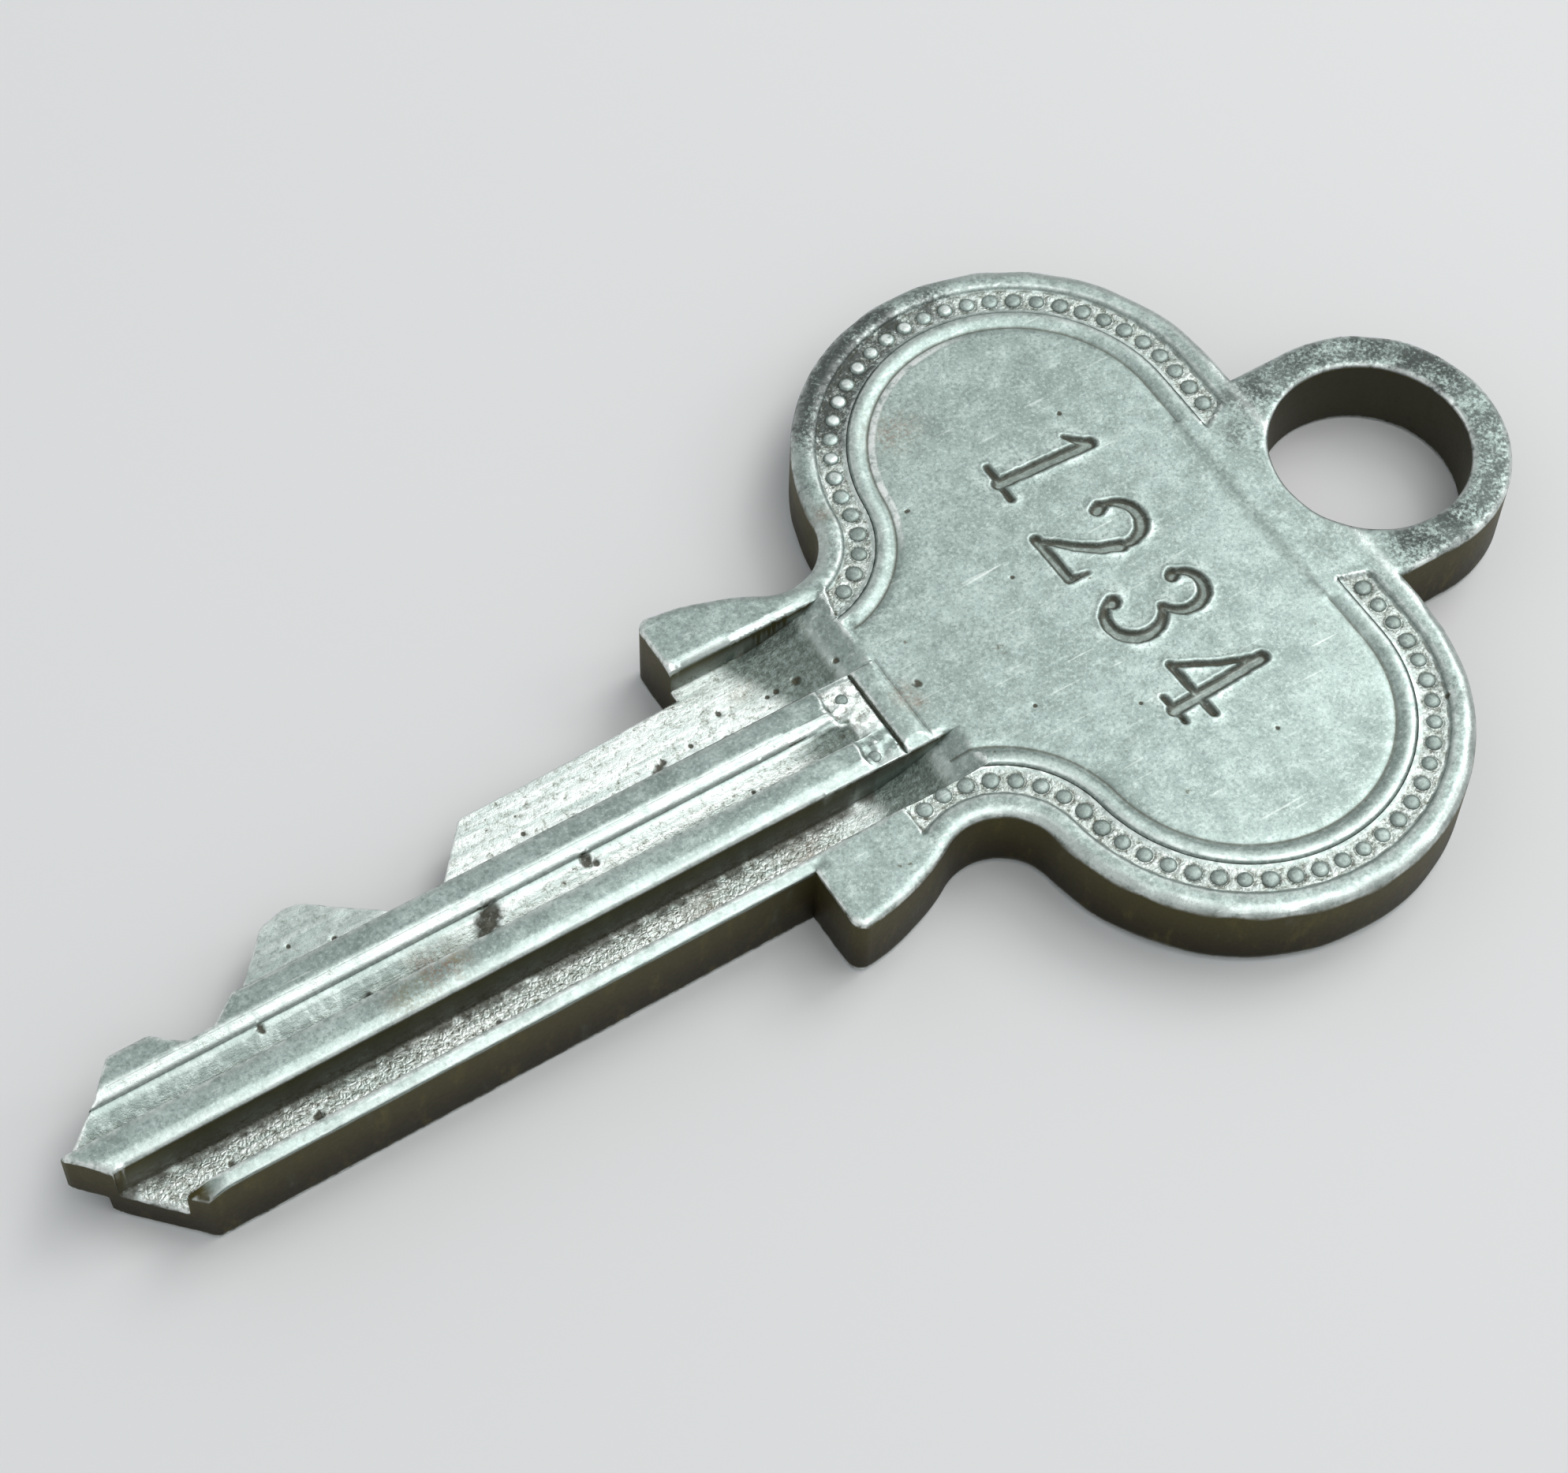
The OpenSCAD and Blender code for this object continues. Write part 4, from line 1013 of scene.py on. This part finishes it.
# The bow: the two round lobes that the hand turns, stamped with the blank and struck on both faces.
# Fingers rubbed it to the dullest satin of the key. It ends at a straight seam across the neck.
bow = cut_out("bow")
bow.data.materials.append(nickel("nickel_bow", 0.42))
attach(bow, "root")
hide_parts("bow")

# The neck: the shoulders that stop the key at the lock's face, with the cross bar and the run-outs of the
# grooves. It is the same nickel silver, and the milling disc lifted out of it in grey, dragged metal.
neck = cut_out("neck")
neck.data.materials.append(nickel("nickel_neck", 0.4))
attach(neck, "root")
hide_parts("neck")

# The blade: the part that enters the lock, with its spine, ridges, milled grooves and filed cuts.
# It is the same nickel silver, brighter than the rest because the lock's pins and walls rub it.
blade = cut_out("blade")
blade.data.materials.append(nickel("nickel_blade", 0.38))
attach(blade, "root")
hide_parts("blade")

# The pearls: low domes that the striking raised in the channel, rubbed flat on top by pockets and hands.
# One is modelled and copied along the channel of both faces, with a little unevenness of its own.
# The two beside the cross bar, on the front alone, are smaller.
PEARL_R, PEARL_H, PEARL_CUT, PEARL_SINK, BAR_PEARL_SHARE = 0.24, 0.085, 0.86, 0.01, 0.75
bpy.ops.object.select_all(action="DESELECT")
bpy.ops.mesh.primitive_uv_sphere_add(segments=14, ring_count=10, radius=PEARL_R * 0.001, location=(0, 0, 0))
pearl = bpy.context.object
pearl.name = "one_pearl"
bpy.ops.object.mode_set(mode="EDIT")
for height, way in ((0, 1), (PEARL_CUT, -1)):
    bpy.ops.mesh.select_all(action="SELECT")
    bpy.ops.mesh.bisect(plane_co=(0, 0, height * PEARL_R * 0.001), plane_no=(0, 0, way), clear_inner=True,
                        use_fill=way < 0, threshold=1e-7)
bpy.ops.mesh.select_all(action="SELECT")
bpy.ops.transform.resize(value=(1, 1, PEARL_H / (PEARL_CUT * PEARL_R)), center_override=(0, 0, 0))
bpy.ops.object.mode_set(mode="OBJECT")
bpy.ops.object.shade_smooth()
rng = np.random.default_rng(4)
copies = []
for face_up in (True, False):
    for x, y in row_pearls + (bar_pearls if face_up else []):
        share = BAR_PEARL_SHARE if (x, y) in bar_pearls else 1
        copy = pearl.copy()
        copy.data = pearl.data.copy()
        bpy.context.scene.collection.objects.link(copy)
        foot = THICK - CHANNEL_DEPTH - PEARL_SINK if face_up else CHANNEL_DEPTH + PEARL_SINK
        width, height = rng.uniform(0.92, 1.03), rng.uniform(0.75, 1)
        size = Matrix.Diagonal((width * share, width * share, height * share if face_up else -height, 1))
        copy.data.transform(Matrix.Translation(Vector((x, y, foot)) * 0.001) @ size)
        if not face_up:
            copy.data.flip_normals()
        copies.append(copy)
bpy.data.objects.remove(pearl)
bpy.ops.object.select_all(action="DESELECT")
for copy in copies:
    copy.select_set(True)
bpy.context.view_layer.objects.active = copies[0]
bpy.ops.object.join()
pearls = bpy.context.object
pearls.name = "pearl_domes"
# Each dome has wear and a painted highlight on its crown, most of all on the dark part of a lobe, and dirt
# with painted shade round its foot; away from that part the whole dome is a little dirtier
dome_x, dome_y, dome_z = read_rows(pearls.data.vertices, "co", 3).T * 1000
height = (np.abs(dome_z - THICK / 2) - (THICK / 2 - CHANNEL_DEPTH - PEARL_SINK)) / PEARL_H
dark_lobe = ramp(15, 12, dome_x) * ramp(5, 7, dome_y)
write_marks(pearls, {"wear_and_highlight": ramp(0.55, 0.9, height) * (0.12 + 0.33 * dark_lobe),
                     "dirt_and_painted_shade": np.maximum(ramp(0.4, 0.1, height) * 0.5, 0.32 * (1 - dark_lobe)),
                     "patina": 0.35 * stained(dome_x, dome_y, PATINA)})
pearls.data.materials.append(nickel("nickel_pearls", 0.4))
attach(pearls, "root")
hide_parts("pearls")

# The table that the key lies on: a plain pale sheet, which keeps the key's shadow.
# It lies a hair below the key, so that the two never share a plane.
bpy.ops.mesh.primitive_plane_add(size=1.6, location=(0, 0, -0.00002))
table = bpy.context.object
table.name = "pale_table"
sheet = bpy.data.materials.new("pale_sheet")
sheet.use_nodes = True
paper = sheet.node_tree.nodes["Principled BSDF"].inputs
paper["Base Color"].default_value = (0.7, 0.7, 0.69, 1)
paper["Roughness"].default_value = 0.9
table.data.materials.append(sheet)

# The room: a pale backdrop that the camera and the metal see, brighter above than along the floor.
# What falls on the key from all around is dimmer and a little blue.
world = bpy.data.worlds.new("studio")
bpy.context.scene.world = world
world.use_nodes = True
world.node_tree.nodes.clear()
room = partial(add_node, world.node_tree)
path = room("LightPath")
shown = path.outputs["Is Camera Ray"]
for ray in ("Is Glossy Ray", "Is Transmission Ray"):
    either = room("Math", operation="MAXIMUM")
    put(world.node_tree, shown, either.inputs[0])
    put(world.node_tree, path.outputs[ray], either.inputs[1])
    shown = either.outputs[0]
upward = room("SeparateXYZ", Vector=room("TexCoord").outputs["Generated"]).outputs[2]
glow = room("MapRange", interpolation_type="SMOOTHSTEP", Value=upward,
            **{"From Min": 0.05, "From Max": 0.9, "To Min": 0.6, "To Max": 0.85})
dim = room("Background", Color=(0.92, 0.96, 1.0), Strength=0.55)
backdrop = room("Background", Color=(1, 1, 1), Strength=glow.outputs[0])
mixed = room("MixShader", Fac=shown)
put(world.node_tree, dim.outputs[0], mixed.inputs[1])
put(world.node_tree, backdrop.outputs[0], mixed.inputs[2])
room("OutputWorld", Surface=mixed.outputs[0])

# The lamps: soft square ones that face the key, as in a small studio. A large one stands above, one to the
# right, a weak one in front, and a narrow one low down lights the rim.
KEY_MIDDLE = Vector((0.002, 0, 0))
for name, azimuth, elevation, distance, size, power in (
        ("lamp_over", -20, 72, 0.32, 0.2, 0.27), ("lamp_right", 14, 47, 0.3, 0.14, 0.24),
        ("lamp_front", -95, 58, 0.32, 0.14, 0.065), ("lamp_rim", -24, 37, 0.3, 0.09, 0.06)):
    a, e = math.radians(azimuth), math.radians(elevation)
    way = Vector((math.cos(e) * math.cos(a), math.cos(e) * math.sin(a), math.sin(e)))
    bpy.ops.object.light_add(type="AREA", location=KEY_MIDDLE + way * distance)
    light = bpy.context.object
    light.name = name
    light.data.size = size
    light.data.energy = power
    light.rotation_euler = way.to_track_quat("Z", "Y").to_euler()

# The camera stands where the photograph was taken from, close above the key.
# Its focal length was fitted in pixels of the photograph, whose width the sensor spans.
FOCAL_PX, PHOTO_WIDTH_PX, SENSOR_MM = 4683.7, 1988, 36
right = Vector((0.84527, -0.53401, 0.01873)).normalized()
behind = Vector((-0.30320, -0.45047, 0.83973)).normalized()
stand = Matrix.Translation((-0.02754, -0.04273, 0.08276))
camera = bpy.data.objects.new("camera", bpy.data.cameras.new("camera"))
bpy.context.scene.collection.objects.link(camera)
camera.matrix_world = stand @ Matrix((right, behind.cross(right), behind)).transposed().to_4x4()
camera.data.sensor_width = SENSOR_MM
camera.data.lens = FOCAL_PX / PHOTO_WIDTH_PX * SENSOR_MM
camera.data.clip_start = 0.001
camera.data.dof.use_dof = False
bpy.context.scene.camera = camera
bpy.context.scene.view_settings.view_transform = "Standard"

bpy.context.view_layer.update()
